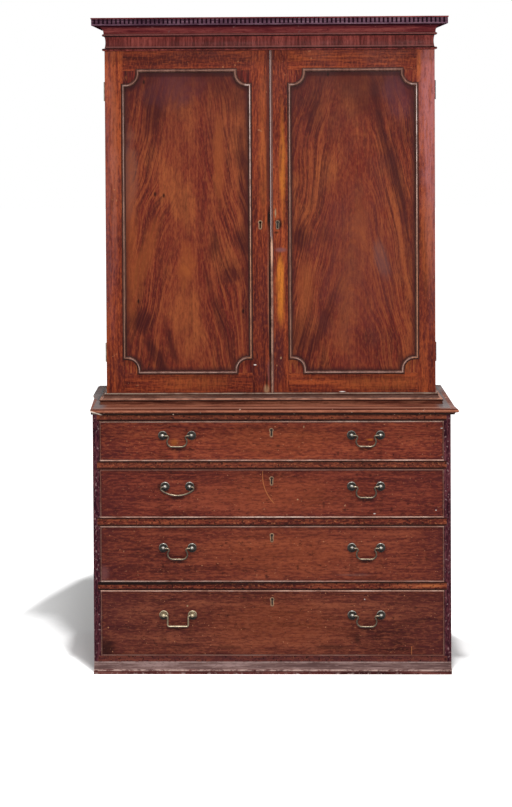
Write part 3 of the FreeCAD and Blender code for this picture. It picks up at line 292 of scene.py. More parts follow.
bpy.ops.object.select_all(action="DESELECT")
bpy.ops.mesh.primitive_plane_add(size=FLOOR_SIZE)
floor = bpy.context.object
floor.name = "studio_floor"
floor_finish, spot = start_finish("studio_floor")
floor_shader = floor_finish.node_tree.nodes["Principled BSDF"]
floor_shader.inputs["Base Color"].default_value = PALE_GREY
floor_shader.inputs["Roughness"].default_value = 0.9
floor_shader.inputs["Specular IOR Level"].default_value = 0.0
floor_shader.inputs["Emission Color"].default_value = WHITE
shade = 1.0
for line in SHADE_LINES:
    shade = shade * right_of(spot, *line)
glow = shade * ease(abs(spot.x), *SHADE_REACH, *SHADE_GLOW) + (1.0 - shade)
glow = glow * seen_white(floor_finish.node_tree)
plug(floor_finish.node_tree, floor_shader.inputs["Emission Strength"], glow)
floor.data.materials.append(floor_finish)

world = bpy.data.worlds.new("studio_sky")
bpy.context.scene.world = world
world.use_nodes = True
sky = world.node_tree.nodes["Background"]
sky.inputs["Color"].default_value = WHITE
plug(world.node_tree, sky.inputs["Strength"], ease(seen_white(world.node_tree), 0, 1, SKY_FILL, 1))


def lamp(name, place, aim, size, power):
    data = bpy.data.lights.new(name, "AREA")
    data.shape = "DISK"
    data.size = size
    data.energy = power
    made = bpy.data.objects.new(name, data)
    bpy.context.collection.objects.link(made)
    made.location = place
    made.rotation_euler = (Vector(aim) - Vector(place)).to_track_quat("-Z", "Y").to_euler()


lamp("overhead_lamp", place=(0.28, -2.1, 8.0), aim=(0.0, -0.2, 0.0), size=0.4, power=460)
lamp("front_lamp", place=(0.6, -5.0, 3.0), aim=(0.0, 0.0, 0.7), size=1.4, power=118)
print("studio lit")

# %% [markdown]
# ## Mahogany
# Old mahogany is a red-brown ground with soft ribbons of darker and lighter wood, fine fibres and
# short dark pores, all drawn out along the grain. It could be painted, but a noise stretched along
# one axis does the same at any size. The coordinates are first sorted into along, across and depth,
# so that one function serves uprights, rails and boards that run from front to back. Each pair of
# numbers says how many patches fit in a metre along the grain and across it.

# %% Grain
RIBBON = (1.3, 24.0)
CLOUD = (1.8, 6.0)
MOTTLE = (6.0, 46.0)
FIBRE = (9.0, 150.0)
FLECK = (34.0, 215.0)
PORE = (110.0, 480.0)


def run_along(place, axis):
    x, y, z = place
    return {"x": (x, z, y), "y": (y, x, z), "z": (z, x, y)}[axis]


def drawn_out(run, drawn, detail, rough, shift=0.0, twist=0.0):
    """Noise drawn out along the grain; run is (along, across, depth)."""
    along, across, depth = run
    where = vector(along * drawn[0] + shift, across * drawn[1], depth * drawn[1])
    return noise(where, 1.0, detail, rough, twist)


def timber(run, tones, shift=0.0, contrast=0.07):
    """The colour of plain timber and the height of its grain."""
    dark, middle, light = tones
    ribbons = drawn_out(run, RIBBON, 4.0, 0.6, shift, 0.4)
    clouds = drawn_out(run, CLOUD, 3.0, 0.5, shift)
    mottle = drawn_out(run, MOTTLE, 4.0, 0.6, shift + 3.0)
    fibres = drawn_out(run, FIBRE, 3.0, 0.6, shift)
    flecks = drawn_out(run, FLECK, 2.0, 0.6, shift)
    pores = ease(drawn_out(run, PORE, 1.0, 0.5, shift), 0.58, 0.7)
    figure = ribbons * 0.25 + clouds * 0.2 + mottle * 0.25 + fibres * 0.3
    colour = ramp(figure, [(0.5 - contrast, dark), (0.5, middle), (0.5 + contrast, light)])
    colour = lay(ease(flecks, 0.53, 0.68, 0.0, 0.5), colour, dark)
    colour = lay(ease(flecks, 0.44, 0.3, 0.0, 0.5), colour, light)
    colour = lay(pores * 0.6, colour, dark)
    return colour, fibres - pores


def dress(node_names, finish):
    for name in node_names:
        for slot in nodes[name].material_slots:
            slot.material = finish


print("grain ready")

# %% [markdown]
# ## Two centuries of wear
# Hands, dusters and linen have rubbed every arris pale, knocks have left light specks, and polish
# has filled the hollows with dirt. A Bevel node finds the arrises: it rounds the normal there, and
# where the rounded and the true normal differ the surface is near an edge. A noise breaks the line
# up, because an even pale outline looks drawn. Wear also dulls the polish, so it raises roughness.

# %% Wear
GRIT = (55.0, 165.0)
unpolished = tone(102, 68, 52)
DRY_SHARE = 0.5


def near_edge(place, radius):
    tree = place.x.tree
    rounded = add(tree, "Bevel", {"Radius": radius}, samples=6).outputs[0]
    alike = add(tree, "VectorMath", operation="DOT_PRODUCT")
    tree.links.new(rounded, alike.inputs[0])
    tree.links.new(add(tree, "NewGeometry").outputs["Normal"], alike.inputs[1])
    return ease(Wire(tree, alike.outputs["Value"]), 0.985, 0.86)


def rubbed_edges(place, colour, worn, radius=0.003, amount=0.75):
    broken = ease(blotches(place, 38.0, 4.0, 0.65), 0.36, 0.6)
    share = near_edge(place, radius) * broken * amount
    return lay(share, colour, worn), share


def specks(place, colour, worn, size=85.0, sparse=0.7, amount=0.8):
    dots = blotches(place, size, 2.0, 0.5)
    return lay(ease(dots, sparse, sparse + 0.06, 0.0, amount), colour, worn)


def patch(place, centre, radii, ragged=0.35):
    """1 in the middle of a soft ellipse on the front, 0 outside it. Centre and radii are (x, z)."""
    across = (place.x - centre[0]) / radii[0]
    up = (place.z - centre[1]) / radii[1]
    rough = blotches(place, 14.0, 4.0, 0.6) - 0.5
    return ease((across ** 2 + up ** 2) ** 0.5 + rough * (2 * ragged), 1.0, 0.25)


def marked(place, colour, marks, broken=1.0):
    """Soft spots laid over a colour. A mark is (centre, radii, share, stain)."""
    for centre, radii, share, stain in marks:
        colour = lay(patch(place, centre, radii) * share * broken, colour, stain)
    return colour


def gritty(place, axis, colour, dark, light, share):
    """Fine speckle drawn out along an axis, darker and lighter than the colour beneath."""
    grit = drawn_out(run_along(place, axis), GRIT, 2.0, 0.6, 1.0)
    colour = lay(ease(grit, 0.5, 0.64, 0.0, share), colour, dark)
    return lay(ease(grit, 0.5, 0.36, 0.0, share), colour, light)


def stripe(value, middle, half, share=1.0):
    """share where the value is at the middle, fading to 0 at half away from it."""
    return ease(abs(value - middle), half, 0.3 * half, 0.0, share)


def dry_behind(place, colour, bare):
    """Leaves the timber bare, dull and unpolished on the faces that look back."""
    return lay(looks_back(place), colour, lay(DRY_SHARE, bare, unpolished))


print("wear ready")

# %% [markdown]
# ## Polish
# The last step of every timber finish plugs its colour into the shader. Old wax is low in gloss and
# uneven, so a slow noise sways the roughness, wear adds to it, and the grain stands up as a bump.

# %% Polish
POLISH_GLOSS = 0.06
POLISH_ROUGHNESS = (0.34, 0.52)
GRAIN_RELIEF = 0.0003


def polish(finish, place, colour, height, dull=0.0, rough=POLISH_ROUGHNESS, gloss=POLISH_GLOSS,
           relief=GRAIN_RELIEF):
    tree = finish.node_tree
    shader = tree.nodes["Principled BSDF"]
    plug(tree, shader.inputs["Base Color"], colour)
    shader.inputs["Specular IOR Level"].default_value = gloss
    handled = ease(blotches(place, 7.0, 4.0, 0.55), 0.35, 0.65, *rough)
    plug(tree, shader.inputs["Roughness"], dull * 0.25 + handled)
    bump = add(tree, "Bump", {"Height": height, "Distance": relief, "Strength": 0.5})
    plug(tree, shader.inputs["Normal"], Wire(tree, bump.outputs[0]))
    return finish


print("polish ready")

# %% [markdown]
# ## The door panels
# The panels are veneered with figured leaves: a warm, cloudy middle, and dark streaks at the sides
# that lean together towards the top like the legs of a tall arch. The two leaves come from one block
# and are opened like a book. The arches follow height + k * distance from the middle, so a noise on
# that one number draws the streaks, and the distance from the middle of the press mirrors them.
# The panel is darker along its rim, which turns in round a quarter circle at each corner, and the
# head of each leaf is painted darker as shade, as if less light reached the top of the door. The
# backs of the panels were never polished. A panel's edges are hidden in its frame, so that lip is
# taken off the size of its CAD box.

# %% Figured panels
PANEL_LIP = 0.008
panel_low, panel_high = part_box("right_door_panel")
panel_centre = ((panel_low[0] + panel_high[0]) / 2, (panel_low[2] + panel_high[2]) / 2)
panel_half = (panel_high[0] - panel_centre[0] - PANEL_LIP, panel_high[2] - panel_centre[1] - PANEL_LIP)
ARCH_SLOPE = 2.2
ARCH_CROWN = 0.12
STREAKS = (6.5, 1.6)
HAIRS = (26.0, 4.4)
RIM_DARK = (0.009, 0.026)
RIM_SWAY = 0.02
CORNER_IN = (0.012, 0.010)
CORNER_REACH = 0.037
CORNER_BLEND = 0.004
umber = tone(56, 18, 18)
panel_red = tone(108, 38, 28)
panel_brown = tone(120, 52, 34)
panel_glow = tone(150, 79, 44)
panel_edge = tone(70, 26, 24)
panel_head_shade = tone(62, 22, 21)
panel_knot = tone(30, 10, 8)
panel_rim_dark = tone(52, 22, 24)


def fan_noise(arch, across, hand, pitch):
    return noise(vector(arch * pitch[0], across * pitch[1], hand), 1.0, 4.0, 0.65)


def leaning(place, centre, lean):
    """The place, slid sideways by lean for each metre above the centre."""
    return Place((place.z - centre[1]) * -lean + place.x, place.y, place.z)


def flame_colour(place, across, up, hand, plain):
    """The warm clouds and the streaks of the arch of a leaf."""
    sway = noise(vector(across * 0.8, hand, up * 1.1), 1.0, 2.0) - 0.5
    ray = ((sway * 0.6 + across) ** 2 + ARCH_CROWN) ** 0.5
    arch = ray * ARCH_SLOPE + up
    clouds = noise(vector(across * 1.5, hand, up * 1.9), 1.0, 5.0, 0.6)
    trunk = ease(abs(across), 1.0, 0.0) * ease(up, 0.9, 0.1) * ease(up, -1.3, -0.4)
    stops = [(0.34, panel_edge), (0.45, panel_red), (0.55, panel_brown), (0.66, panel_glow)]
    colour = lay(0.45, ramp(trunk * 0.1 + clouds, stops), plain)
    legs = ease(abs(across), 0.1, 0.55, 0.25, 1.0) * ease(up, 0.95, 0.5, 0.85, 1.0)
    grain = fan_noise(arch, across, hand + 9.0, HAIRS) * 0.55 + fan_noise(arch, across, hand, STREAKS) * 0.45
    colour = lay(legs * ease(grain, 0.5, 0.43, 0.0, 0.65), colour, umber)
    colour = lay(legs * ease(grain, 0.51, 0.58, 0.0, 0.5), colour, panel_glow)
    return gritty(place, "z", colour, umber, panel_glow, 0.25), grain


def flame_finish(name, hand, blots):
    finish, place = start_finish(name)
    across = (abs(place.x) - panel_centre[0]) / panel_half[0]
    up = (place.z - panel_centre[1]) / panel_half[1]
    plain, height = timber(run_along(place, "z"), (umber, panel_red, panel_glow), hand)
    colour, grain = flame_colour(place, across, up, hand, plain)
    ragged = blotches(place, 8.0, 4.0, 0.6) - 0.5
    colour = lay(ease(ragged * 0.7 + abs(across), 0.8, 1.25, 0.0, 0.4), colour, panel_edge)
    # Painted shade: the head of the leaf is darker, as if less light reached the top of the door.
    colour = lay(ease(ragged * 0.9 + up, 0.4, 1.05, 0.0, 0.8), colour, panel_head_shade)
    to_side = panel_half[0] - abs(across) * panel_half[0]
    to_end = panel_half[1] - abs(up) * panel_half[1]
    corner = ((to_side - CORNER_IN[0]) ** 2 + (to_end - CORNER_IN[1]) ** 2) ** 0.5
    to_rim = least(to_side, to_end, corner - CORNER_REACH) + ragged * RIM_SWAY
    colour = lay(ease(to_rim, *RIM_DARK, 0.7, 0.0), colour, panel_rim_dark)
    colour = lay(ease(corner, CORNER_REACH + CORNER_BLEND, CORNER_REACH), colour, plain)
    broken = ease(grain, 0.62, 0.42, 0.55, 1.0)
    for centre, radii, tilt, share, stain in blots:
        soft = patch(leaning(place, centre, tilt), centre, radii, ragged=0.6)
        colour = lay(soft * broken * share, colour, stain)
    sown = vector(place.x, hand, place.z * 0.5)
    cells = add(sown.tree, "TexVoronoi", {"Vector": sown, "Scale": 14.0})
    knots = Wire(sown.tree, cells.outputs["Distance"])
    colour = lay(ease(knots, 0.08, 0.03, 0.0, 0.9), colour, panel_knot)
    colour = dry_behind(place, colour, plain)
    return polish(finish, place, colour, height, rough=(0.36, 0.5), relief=0.0002)


print("panel", [round(v, 4) for v in panel_centre], "half", [round(v, 4) for v in panel_half])

# %% [markdown]
# ## Blots on the panels
# Each leaf has its own dark flames and honey-coloured lights, and patches of painted purple-grey
# sheen. Every blot is a soft ellipse, given by its centre, its half width and half height, how far it
# leans, how strong it is and its colour.

# %% Panel blots
honey = tone(150, 78, 40)
# The purple and the dusty grey tones paint sheen, a reflection laid into the colour.
dust_and_sheen_grey = tone(112, 84, 80)
sheen_purple = tone(84, 44, 54)
dull_red = tone(96, 46, 42)
left_blots = [
    ((-0.09, 1.43), (0.045, 0.07), 0.0, 0.9, umber), ((-0.12, 1.32), (0.05, 0.06), 0.2, 0.8, umber),
    ((-0.19, 1.40), (0.03, 0.07), 0.2, 0.6, umber), ((-0.1, 1.72), (0.03, 0.1), 0.0, 0.7, umber),
    ((-0.39, 1.86), (0.045, 0.12), 0.1, 0.8, umber), ((-0.31, 1.92), (0.14, 0.08), 0.0, 0.4, sheen_purple),
    ((-0.43, 1.15), (0.05, 0.05), 0.0, 0.9, umber), ((-0.39, 1.05), (0.03, 0.11), -0.45, 0.9, umber),
    ((-0.33, 1.07), (0.02, 0.12), -0.3, 0.7, umber), ((-0.17, 1.16), (0.02, 0.22), -0.3, 0.7, umber),
    ((-0.47, 1.64), (0.04, 0.2), 0.0, 0.35, dust_and_sheen_grey), ((-0.28, 1.34), (0.035, 0.12), 0.0, 0.8, honey),
    ((-0.17, 1.68), (0.025, 0.22), 0.0, 0.6, honey), ((-0.42, 1.36), (0.045, 0.18), 0.3, 0.5, honey),
    ((-0.465, 1.45), (0.03, 0.42), 0.0, 0.4, honey), ((-0.085, 1.55), (0.03, 0.42), 0.0, 0.8, umber),
]
right_blots = [
    ((0.1, 1.44), (0.045, 0.07), 0.0, 0.9, umber), ((0.18, 1.44), (0.03, 0.06), 0.0, 0.6, umber),
    ((0.17, 1.13), (0.025, 0.2), 0.35, 0.9, umber), ((0.10, 1.10), (0.05, 0.12), 0.0, 0.7, umber),
    ((0.38, 1.76), (0.022, 0.24), -0.2, 0.9, umber), ((0.43, 1.6), (0.025, 0.26), -0.15, 0.8, umber),
    ((0.43, 1.9), (0.07, 0.1), 0.0, 0.5, sheen_purple), ((0.15, 1.85), (0.04, 0.1), 0.0, 0.6, umber),
    ((0.37, 1.36), (0.03, 0.09), -0.2, 0.5, dust_and_sheen_grey), ((0.12, 1.27), (0.04, 0.12), 0.0, 0.5, honey),
    ((0.3, 1.48), (0.04, 0.14), 0.0, 0.5, honey), ((0.29, 1.35), (0.22, 0.42), 0.0, 0.45, dull_red),
]
dress(["left_door_panel"], flame_finish("left_door_flame", -1.7, left_blots))
dress(["right_door_panel"], flame_finish("right_door_flame", 2.3, right_blots))
print("panels veneered, blots", len(left_blots) + len(right_blots))

# %% [markdown]
# ## The door frames
# Each frame is four pieces of timber: two stiles that run the full height and two rails between
# them. The CAD keeps a frame as one solid, so the finish tells stile from rail by the distance from
# the middle of the door, turns the grain there, and draws the hairline of the joint. Lighter and
# darker patches lie in the timber, under the wear; the rosy ones high on the stiles are painted
# sheen. Chips come last, with painted shadow: black in the keyhole and in the gap where the left
# door's edge has broken away, and a dark band down that edge where the bead shades it.

# %% Stiles and rails
JOINT_HAIR = 0.0011
frame_tones = (tone(64, 20, 18), tone(112, 44, 29), tone(160, 76, 40))
joint_dirt = tone(40, 14, 12)
frame_worn = tone(132, 84, 66)
frame_speck = tone(168, 110, 76)


def frame_finish(name, shift, glows, chips_and_shadows):
    finish, place = start_finish(name)
    upright_run = run_along(place, "z")
    from_joint = abs(abs(place.x) - panel_centre[0]) - panel_half[0]
    stile = from_joint > 0.0
    upright, upright_height = timber(upright_run, frame_tones, shift, contrast=0.085)
    level, level_height = timber(run_along(place, "x"), frame_tones, shift + 2.0, contrast=0.1)
    bare = lay(stile, level, upright)
    height = stile * upright_height + (1.0 - stile) * level_height
    streaky = drawn_out(upright_run, FIBRE, 3.0, 0.6, shift + 5.0)
    colour = marked(place, bare, glows, ease(streaky, 0.35, 0.6, 0.35, 1.0))
    colour = gritty(place, "z", colour, frame_tones[0], frame_tones[2], 0.3)
    colour = lay(ease(abs(from_joint), JOINT_HAIR, 0.0, 0.0, 0.35), colour, joint_dirt)
    colour, dull = rubbed_edges(place, colour, frame_worn, radius=0.0025, amount=0.5)
    colour = specks(place, colour, frame_speck, size=60.0, sparse=0.72, amount=0.7)
    colour = marked(place, colour, chips_and_shadows)
    return polish(finish, place, dry_behind(place, colour, bare), height, dull)


amber = tone(158, 84, 42)
dusk = tone(66, 24, 28)
bead_shadow_dark = tone(66, 26, 24)
rosy_sheen = tone(164, 98, 96)
mauve = tone(118, 74, 74)
gold = tone(196, 114, 42)
gap_shadow_black = tone(20, 9, 7)
bare_wood = tone(172, 142, 108)
chalk = tone(236, 226, 220)
rubbed_arris = tone(164, 104, 80)
# The rosy patches high on the stiles are painted sheen.
left_glows = [
    ((-0.522, 1.72), (0.02, 0.45), 0.7, amber), ((-0.02, 1.75), (0.025, 0.35), 0.6, amber),
    ((-0.535, 1.6), (0.04, 0.6), 0.35, rosy_sheen), ((-0.03, 1.2), (0.05, 0.22), 0.6, dusk),
    ((-0.5, 1.0), (0.16, 0.06), 0.6, dusk), ((-0.25, 2.04), (0.3, 0.02), 0.3, dusk),
    ((-0.25, 0.95), (0.16, 0.04), 0.5, amber), ((-0.03, 0.98), (0.04, 0.07), 0.7, dusk),
]
# The black marks are painted shadow in the keyhole and in the gap between the doors, and the dark band down
# the left door's meeting edge is the bead's painted shadow.
left_chips_and_shadows = [
    ((-0.005, 1.8), (0.011, 0.5), 0.8, bead_shadow_dark), ((-0.007, 1.25), (0.0035, 0.25), 0.6, rubbed_arris),
    ((-0.006, 0.985), (0.007, 0.07), 0.5, mauve), ((-0.014, 0.926), (0.013, 0.02), 0.6, bare_wood),
    ((-0.0045, 1.503), (0.007, 0.045), 1.0, gap_shadow_black), ((-0.0025, 1.19), (0.0055, 0.42), 1.0, gap_shadow_black),
    ((-0.013, 0.95), (0.004, 0.04), 0.8, gap_shadow_black), ((-0.0525, 1.007), (0.007, 0.0026), 1.0, chalk),
]
right_glows = [
    ((0.53, 1.85), (0.05, 0.42), 0.95, rosy_sheen), ((0.54, 1.6), (0.03, 0.6), 0.8, rosy_sheen),
    ((0.498, 2.0), (0.01, 0.06), 0.9, amber), ((0.525, 1.4), (0.03, 0.25), 0.6, amber),
    ((0.53, 1.15), (0.06, 0.25), 0.5, dusk), ((0.034, 1.26), (0.019, 0.15), 1.0, gold),
    ((0.034, 1.32), (0.014, 0.06), 1.0, gold), ((0.042, 1.68), (0.014, 0.25), 0.7, gold),
    ((0.35, 0.945), (0.2, 0.035), 0.6, amber), ((0.022, 1.03), (0.035, 0.16), 0.95, dusk),
]
right_chips_and_shadows = [
    ((0.036, 1.392), (0.026, 0.011), 0.8, mauve), ((0.0285, 1.478), (0.015, 0.025), 1.0, gap_shadow_black),
    ((0.021, 1.45), (0.012, 0.007), 0.8, gap_shadow_black), ((0.018, 1.515), (0.004, 0.022), 0.7, bare_wood),
    ((0.239, 0.9165), (0.014, 0.0025), 1.0, chalk), ((0.034, 1.03), (0.004, 0.006), 0.7, bare_wood),
]
dress(["left_door_frame"], frame_finish("left_frame_mahogany", 0.0, left_glows, left_chips_and_shadows))
dress(["right_door_frame"], frame_finish("right_frame_mahogany", 6.0, right_glows, right_chips_and_shadows))
print("door frames finished, chips", len(left_chips_and_shadows) + len(right_chips_and_shadows))

# %% [markdown]
# ## The planted mouldings
# The mouldings are pale on their crests, partly rubbed grey-tan and partly a painted highlight, and
# dark in the quirks beside them. How far a point stands proud of the door tells crest from quirk.
# The painted highlight makes the uprights palest near the top, as if lit from above, and the left
# one of each pair is dimmer.

# %% Mouldings on the doors
door_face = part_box("left_door_frame")[0][1]
MOULDING_PROUD = 0.006
UPRIGHT_FROM = (0.188, 0.2)
CREST_FADE = (1.25, 1.9)
moulding_tones = (tone(70, 42, 36), tone(92, 58, 50), tone(118, 82, 70))
moulding_quirk = tone(38, 16, 14)
high_crest = tone(226, 206, 198)
low_crest = tone(196, 138, 104)
foot_crest = tone(184, 152, 140)
dim_crest = tone(138, 104, 90)


def moulding_finish(name, hand):
    finish, place = start_finish(name)
    colour, height = timber(run_along(place, "z"), moulding_tones, 4.0 * hand)
    proud = (door_face - place.y) / MOULDING_PROUD
    colour = lay(ease(proud, 0.6, 0.15, 0.0, 0.9), colour, moulding_quirk)
    rub = ease(blotches(place, 30.0, 4.0, 0.65), 0.3, 0.6, 0.3, 0.95)
    dull = ease(proud, 0.95, 0.995) * rub
    # Painted highlight on the crests: palest near the top of the uprights, dimmer on the left ones.
    upright_crest = lay(ease(place.z, *CREST_FADE), low_crest, high_crest)
    on_left = place.x < hand * panel_centre[0]
    upright_crest = lay(on_left * 0.75, upright_crest, dim_crest)
    level_crest = lay(place.z > panel_centre[1], foot_crest, dim_crest)
    from_middle = abs(abs(place.x) - panel_centre[0])
    crest = lay(ease(from_middle, *UPRIGHT_FROM), level_crest, upright_crest)
    return polish(finish, place, lay(dull, colour, crest), height, dull)


for side, hand in SIDES.items():
    dress([f"{side}_door_moulding"], moulding_finish(f"{side}_moulding_rubbed_highlit", hand))
print("mouldings rubbed")

# %% [markdown]
# ## The meeting bead
# The bead on the right door covers the gap between the doors and is rubbed every time they are
# opened; its pale crest is partly that wear and partly a painted highlight. Above the lock a thin
# pale crest runs near its edge. Below the lock the crest lies further over and is broken, apart from
# one bright stretch under the lock where the hand takes hold.

# %% Meeting bead
LOCK_FOOT = 1.425
LOCK_BLEND = 0.02
UPPER_CREST = (0.0017, 0.0024)
LOWER_CREST = (0.0045, 0.0045)
HELD_HEIGHT = 1.385
HELD_RADII = (0.006, 0.075)
bead_tones = (tone(70, 44, 40), tone(98, 66, 60), tone(122, 88, 80))
upper_pale = tone(222, 196, 190)
lower_pale = tone(214, 166, 138)


def bead_finish(name):
    finish, place = start_finish(name)
    colour, height = timber(run_along(place, "z"), bead_tones)
    ragged = noise(vector(place.x, place.y, place.z * 0.6), 60.0, 3.0, 0.7)
    above = ease(place.z, LOCK_FOOT, LOCK_FOOT + LOCK_BLEND)
    # The pale crest is wear and a painted highlight.
    upper = stripe(place.x, *UPPER_CREST, 0.8)
    lower = stripe(place.x, *LOWER_CREST, 0.45) * ease(ragged, 0.42, 0.58, 0.3, 1.0)
    lower = most(lower, patch(place, (LOWER_CREST[0], HELD_HEIGHT), HELD_RADII, ragged=0.1))
    dull = lower * (1.0 - above) + upper * above
    crest = lay(above, lower_pale, upper_pale)
    return polish(finish, place, lay(dull, colour, crest), height, dull)


dress(["right_door_meeting_bead"], bead_finish("meeting_bead_worn_highlit"))
print("meeting bead rubbed")

# %% [markdown]
# ## Handle shadows and scratches on the drawers
# Each handle's shadow is painted on its drawer: a dark ring round each post, a soft shade below the
# bail and a dark line under it. A scratch is a thin bowed line from one point to another: the
# distance along it says where it ends, and the distance to its right, less the bow, says how far off
# it a point is.

# %% Handle shadows and scratches
PIN_PAST = 0.004
SHADOW_BELOW = 0.0058
POST_SHADOW = (0.021, 0.021)
BAIL_SHADE = (0.05, 0.026)
BAIL_SHADOW_LINE = (0.04, 0.0085)
BAIL_SHADOW_DROP = 0.007
SCRATCH_HALF = 0.0018
plum = tone(70, 26, 28)
ink_and_shade = tone(34, 12, 10)
scratch_pale = tone(196, 124, 72)


def handle_shadows(place, colour, bail):
    """Painted shadow round the posts of a handle and under its bail, whose box is given."""
    (left, _, foot), (right, _, top) = bail
    middle = (left + right) / 2
    reach = (right - left) / 2 - PIN_PAST
    for post in (middle - reach, middle + reach):
        colour = lay(patch(place, (post, top - SHADOW_BELOW), POST_SHADOW, ragged=0.1) * 0.85, colour, ink_and_shade)
    colour = lay(patch(place, (middle, foot), BAIL_SHADE, ragged=0.2) * 0.3, colour, ink_and_shade)
    return lay(patch(place, (middle, foot - BAIL_SHADOW_DROP), BAIL_SHADOW_LINE, ragged=0.1) * 0.85, colour, ink_and_shade)


def scratch(place, start, end, bow):
    """A thin line from start to end on the front, bowed to its right as it is followed."""
    run = Vector(end) - Vector(start)
    on_x, on_z = run.normalized()
    from_x, from_z = place.x - start[0], place.z - start[1]
    along = (from_x * on_x + from_z * on_z) / run.length
    rest = 1.0 - along
    right = from_x * on_z - from_z * on_x
    bowed = along * rest * (4.0 * bow)
    return ease(least(along, rest), 0.0, 0.03) * stripe(right - bowed, 0.0, SCRATCH_HALF, 0.5)


print("drawer wear ready")

# %% [markdown]
# ## The drawer fronts
# Each front is one wide board with its grain lying across the press. It is brightest round the
# keyhole, turns plum towards the ends and is scattered with knocks and ink spots. The second drawer
# has one long scratch and the bottom one a short one. A mark is given as on the doors, by its
# centre, its radii, its strength and its colour.

# %% Drawer fronts
KEYHOLE_X = 0.02
GLOW_REACH = 0.34
PLUM_FROM = (0.42, 0.6)
DARK_INSIDE = (0.0035, 0.0075)
drawer_glow = tone(146, 72, 40)
drawer_speck = tone(188, 128, 92)
drawer_worn = tone(120, 74, 60)
drawer_tones = {
    1: (tone(70, 24, 20), tone(118, 50, 36), tone(152, 76, 50)),
    2: (tone(60, 20, 18), tone(103, 43, 33), tone(136, 65, 46)),
    3: (tone(60, 21, 18), tone(102, 44, 33), tone(136, 68, 47)),
    4: (tone(48, 18, 16), tone(92, 42, 33), tone(130, 70, 50)),
}
drawer_marks = {
    1: [((0.4014, 0.7229), (0.004, 0.004), 0.9, ink_and_shade), ((0.5647, 0.8105), (0.011, 0.0024), 0.9, chalk),
        ((0.107, 0.8155), (0.003, 0.006), 0.8, bare_wood), ((0.566, 0.7146), (0.008, 0.003), 0.9, chalk),
        ((0.3234, 0.7725), (0.016, 0.005), 0.5, gold), ((0.0227, 0.7527), (0.011, 0.007), 0.5, ink_and_shade),
        ((-0.32, 0.765), (0.02, 0.016), 0.3, gold)],
    2: [((0.0855, 0.575), (0.004, 0.003), 0.8, bare_wood), ((0.3386, 0.528), (0.006, 0.003), 0.8, chalk),
        ((0.2408, 0.5544), (0.003, 0.003), 0.6, bare_wood), ((0.5405, 0.5392), (0.003, 0.003), 0.7, chalk),
        ((0.1714, 0.5577), (0.006, 0.018), 0.5, ink_and_shade)],
    3: [((-0.56, 0.33), (0.03, 0.035), 0.5, mauve), ((-0.36, 0.355), (0.004, 0.01), 0.6, ink_and_shade),
        ((0.085, 0.35), (0.006, 0.014), 0.5, ink_and_shade), ((0.27, 0.325), (0.09, 0.006), 0.3, dust_and_sheen_grey)],
    4: [((-0.28, 0.222), (0.004, 0.004), 0.8, bare_wood), ((0.305, 0.244), (0.003, 0.003), 0.6, chalk),
        ((0.2, 0.085), (0.09, 0.012), 0.5, ink_and_shade), ((0.28, 0.11), (0.014, 0.018), 0.5, ink_and_shade),
        ((-0.55, 0.08), (0.05, 0.05), 0.8, ink_and_shade), ((-0.15, 0.085), (0.05, 0.01), 0.4, ink_and_shade)],
}
drawer_scratches = {
    2: [((-0.0285, 0.672), (0.0095, 0.561), 0.0138)],
    4: [((0.459, 0.088), (0.459, 0.058), 0.0)],
}


def drawer_finish(number):
    finish, place = start_finish(f"drawer_{number}_mahogany")
    low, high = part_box(f"drawer_{number}_front")
    shift = 3.7 * number
    bare, height = timber(run_along(place, "x"), drawer_tones[number], shift, contrast=0.1)
    glow_radii = (GLOW_REACH, 0.6 * (high[2] - low[2]))
    glow = patch(place, (KEYHOLE_X, (low[2] + high[2]) / 2), glow_radii, ragged=0.4)
    colour = lay(glow * 0.34, bare, drawer_glow)
    to_end = (blotches(place, 9.0, 4.0, 0.6) - 0.5) * 0.3 + abs(place.x)
    colour = lay(ease(to_end, *PLUM_FROM, 0.0, 0.7), colour, plum)
    smudged = noise(vector(place.x + shift, place.y, place.z * 1.3), 42.0, 5.0, 0.75)
    colour = lay(ease(smudged, 0.56, 0.7, 0.0, 0.75), colour, ink_and_shade)
    # The front is darker within a few millimetres of its edges.
    inside = least(place.z - low[2], high[2] - place.z, high[0] - abs(place.x))
    colour = lay(ease(inside, *DARK_INSIDE, 0.7, 0.0), colour, ink_and_shade)
    # Painted shadows of the handle posts and bails.
    for side in SIDES:
        colour = handle_shadows(place, colour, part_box(f"drawer_{number}_{side}_bail"))
    colour = gritty(place, "x", colour, plum, drawer_tones[number][2], 0.4)
    colour = marked(place, colour, drawer_marks[number])
    for start, end, bow in drawer_scratches.get(number, ()):
        colour = lay(scratch(place, start, end, bow), colour, scratch_pale)
    colour = specks(place, colour, drawer_speck, size=150.0, sparse=0.69, amount=0.8)
    colour = dry_behind(place, colour, bare)
    colour, dull = rubbed_edges(place, colour, drawer_worn, radius=0.002, amount=0.4)
    return polish(finish, place, colour, height, dull, rough=(0.36, 0.56))


for number in DRAWERS:
    dress([f"drawer_{number}_front"], drawer_finish(number))
print("drawer fronts finished, marks", sum(len(marks) for marks in drawer_marks.values()))

# %% [markdown]
# ## The cock beads
# The thin beads round the fronts take every knock, so they are the palest timber on the chest. A
# painted highlight, as if light fell from above, picks out some of the level ones, and the uprights
# stay brown. Their colour therefore follows the height within each drawer, with a share of its own
# at the head and the foot.

# %% Cock beads
BEAD_BAND = 0.008
HEAD_SHARES = (0.65, 0.04, 0.35, 0.9)
FOOT_SHARES = (1.0, 0.9, 0.55, 0.18)
bead_pale = (tone(160, 116, 100), tone(208, 164, 146), tone(236, 206, 190))
bead_brown = tone(88, 44, 36)


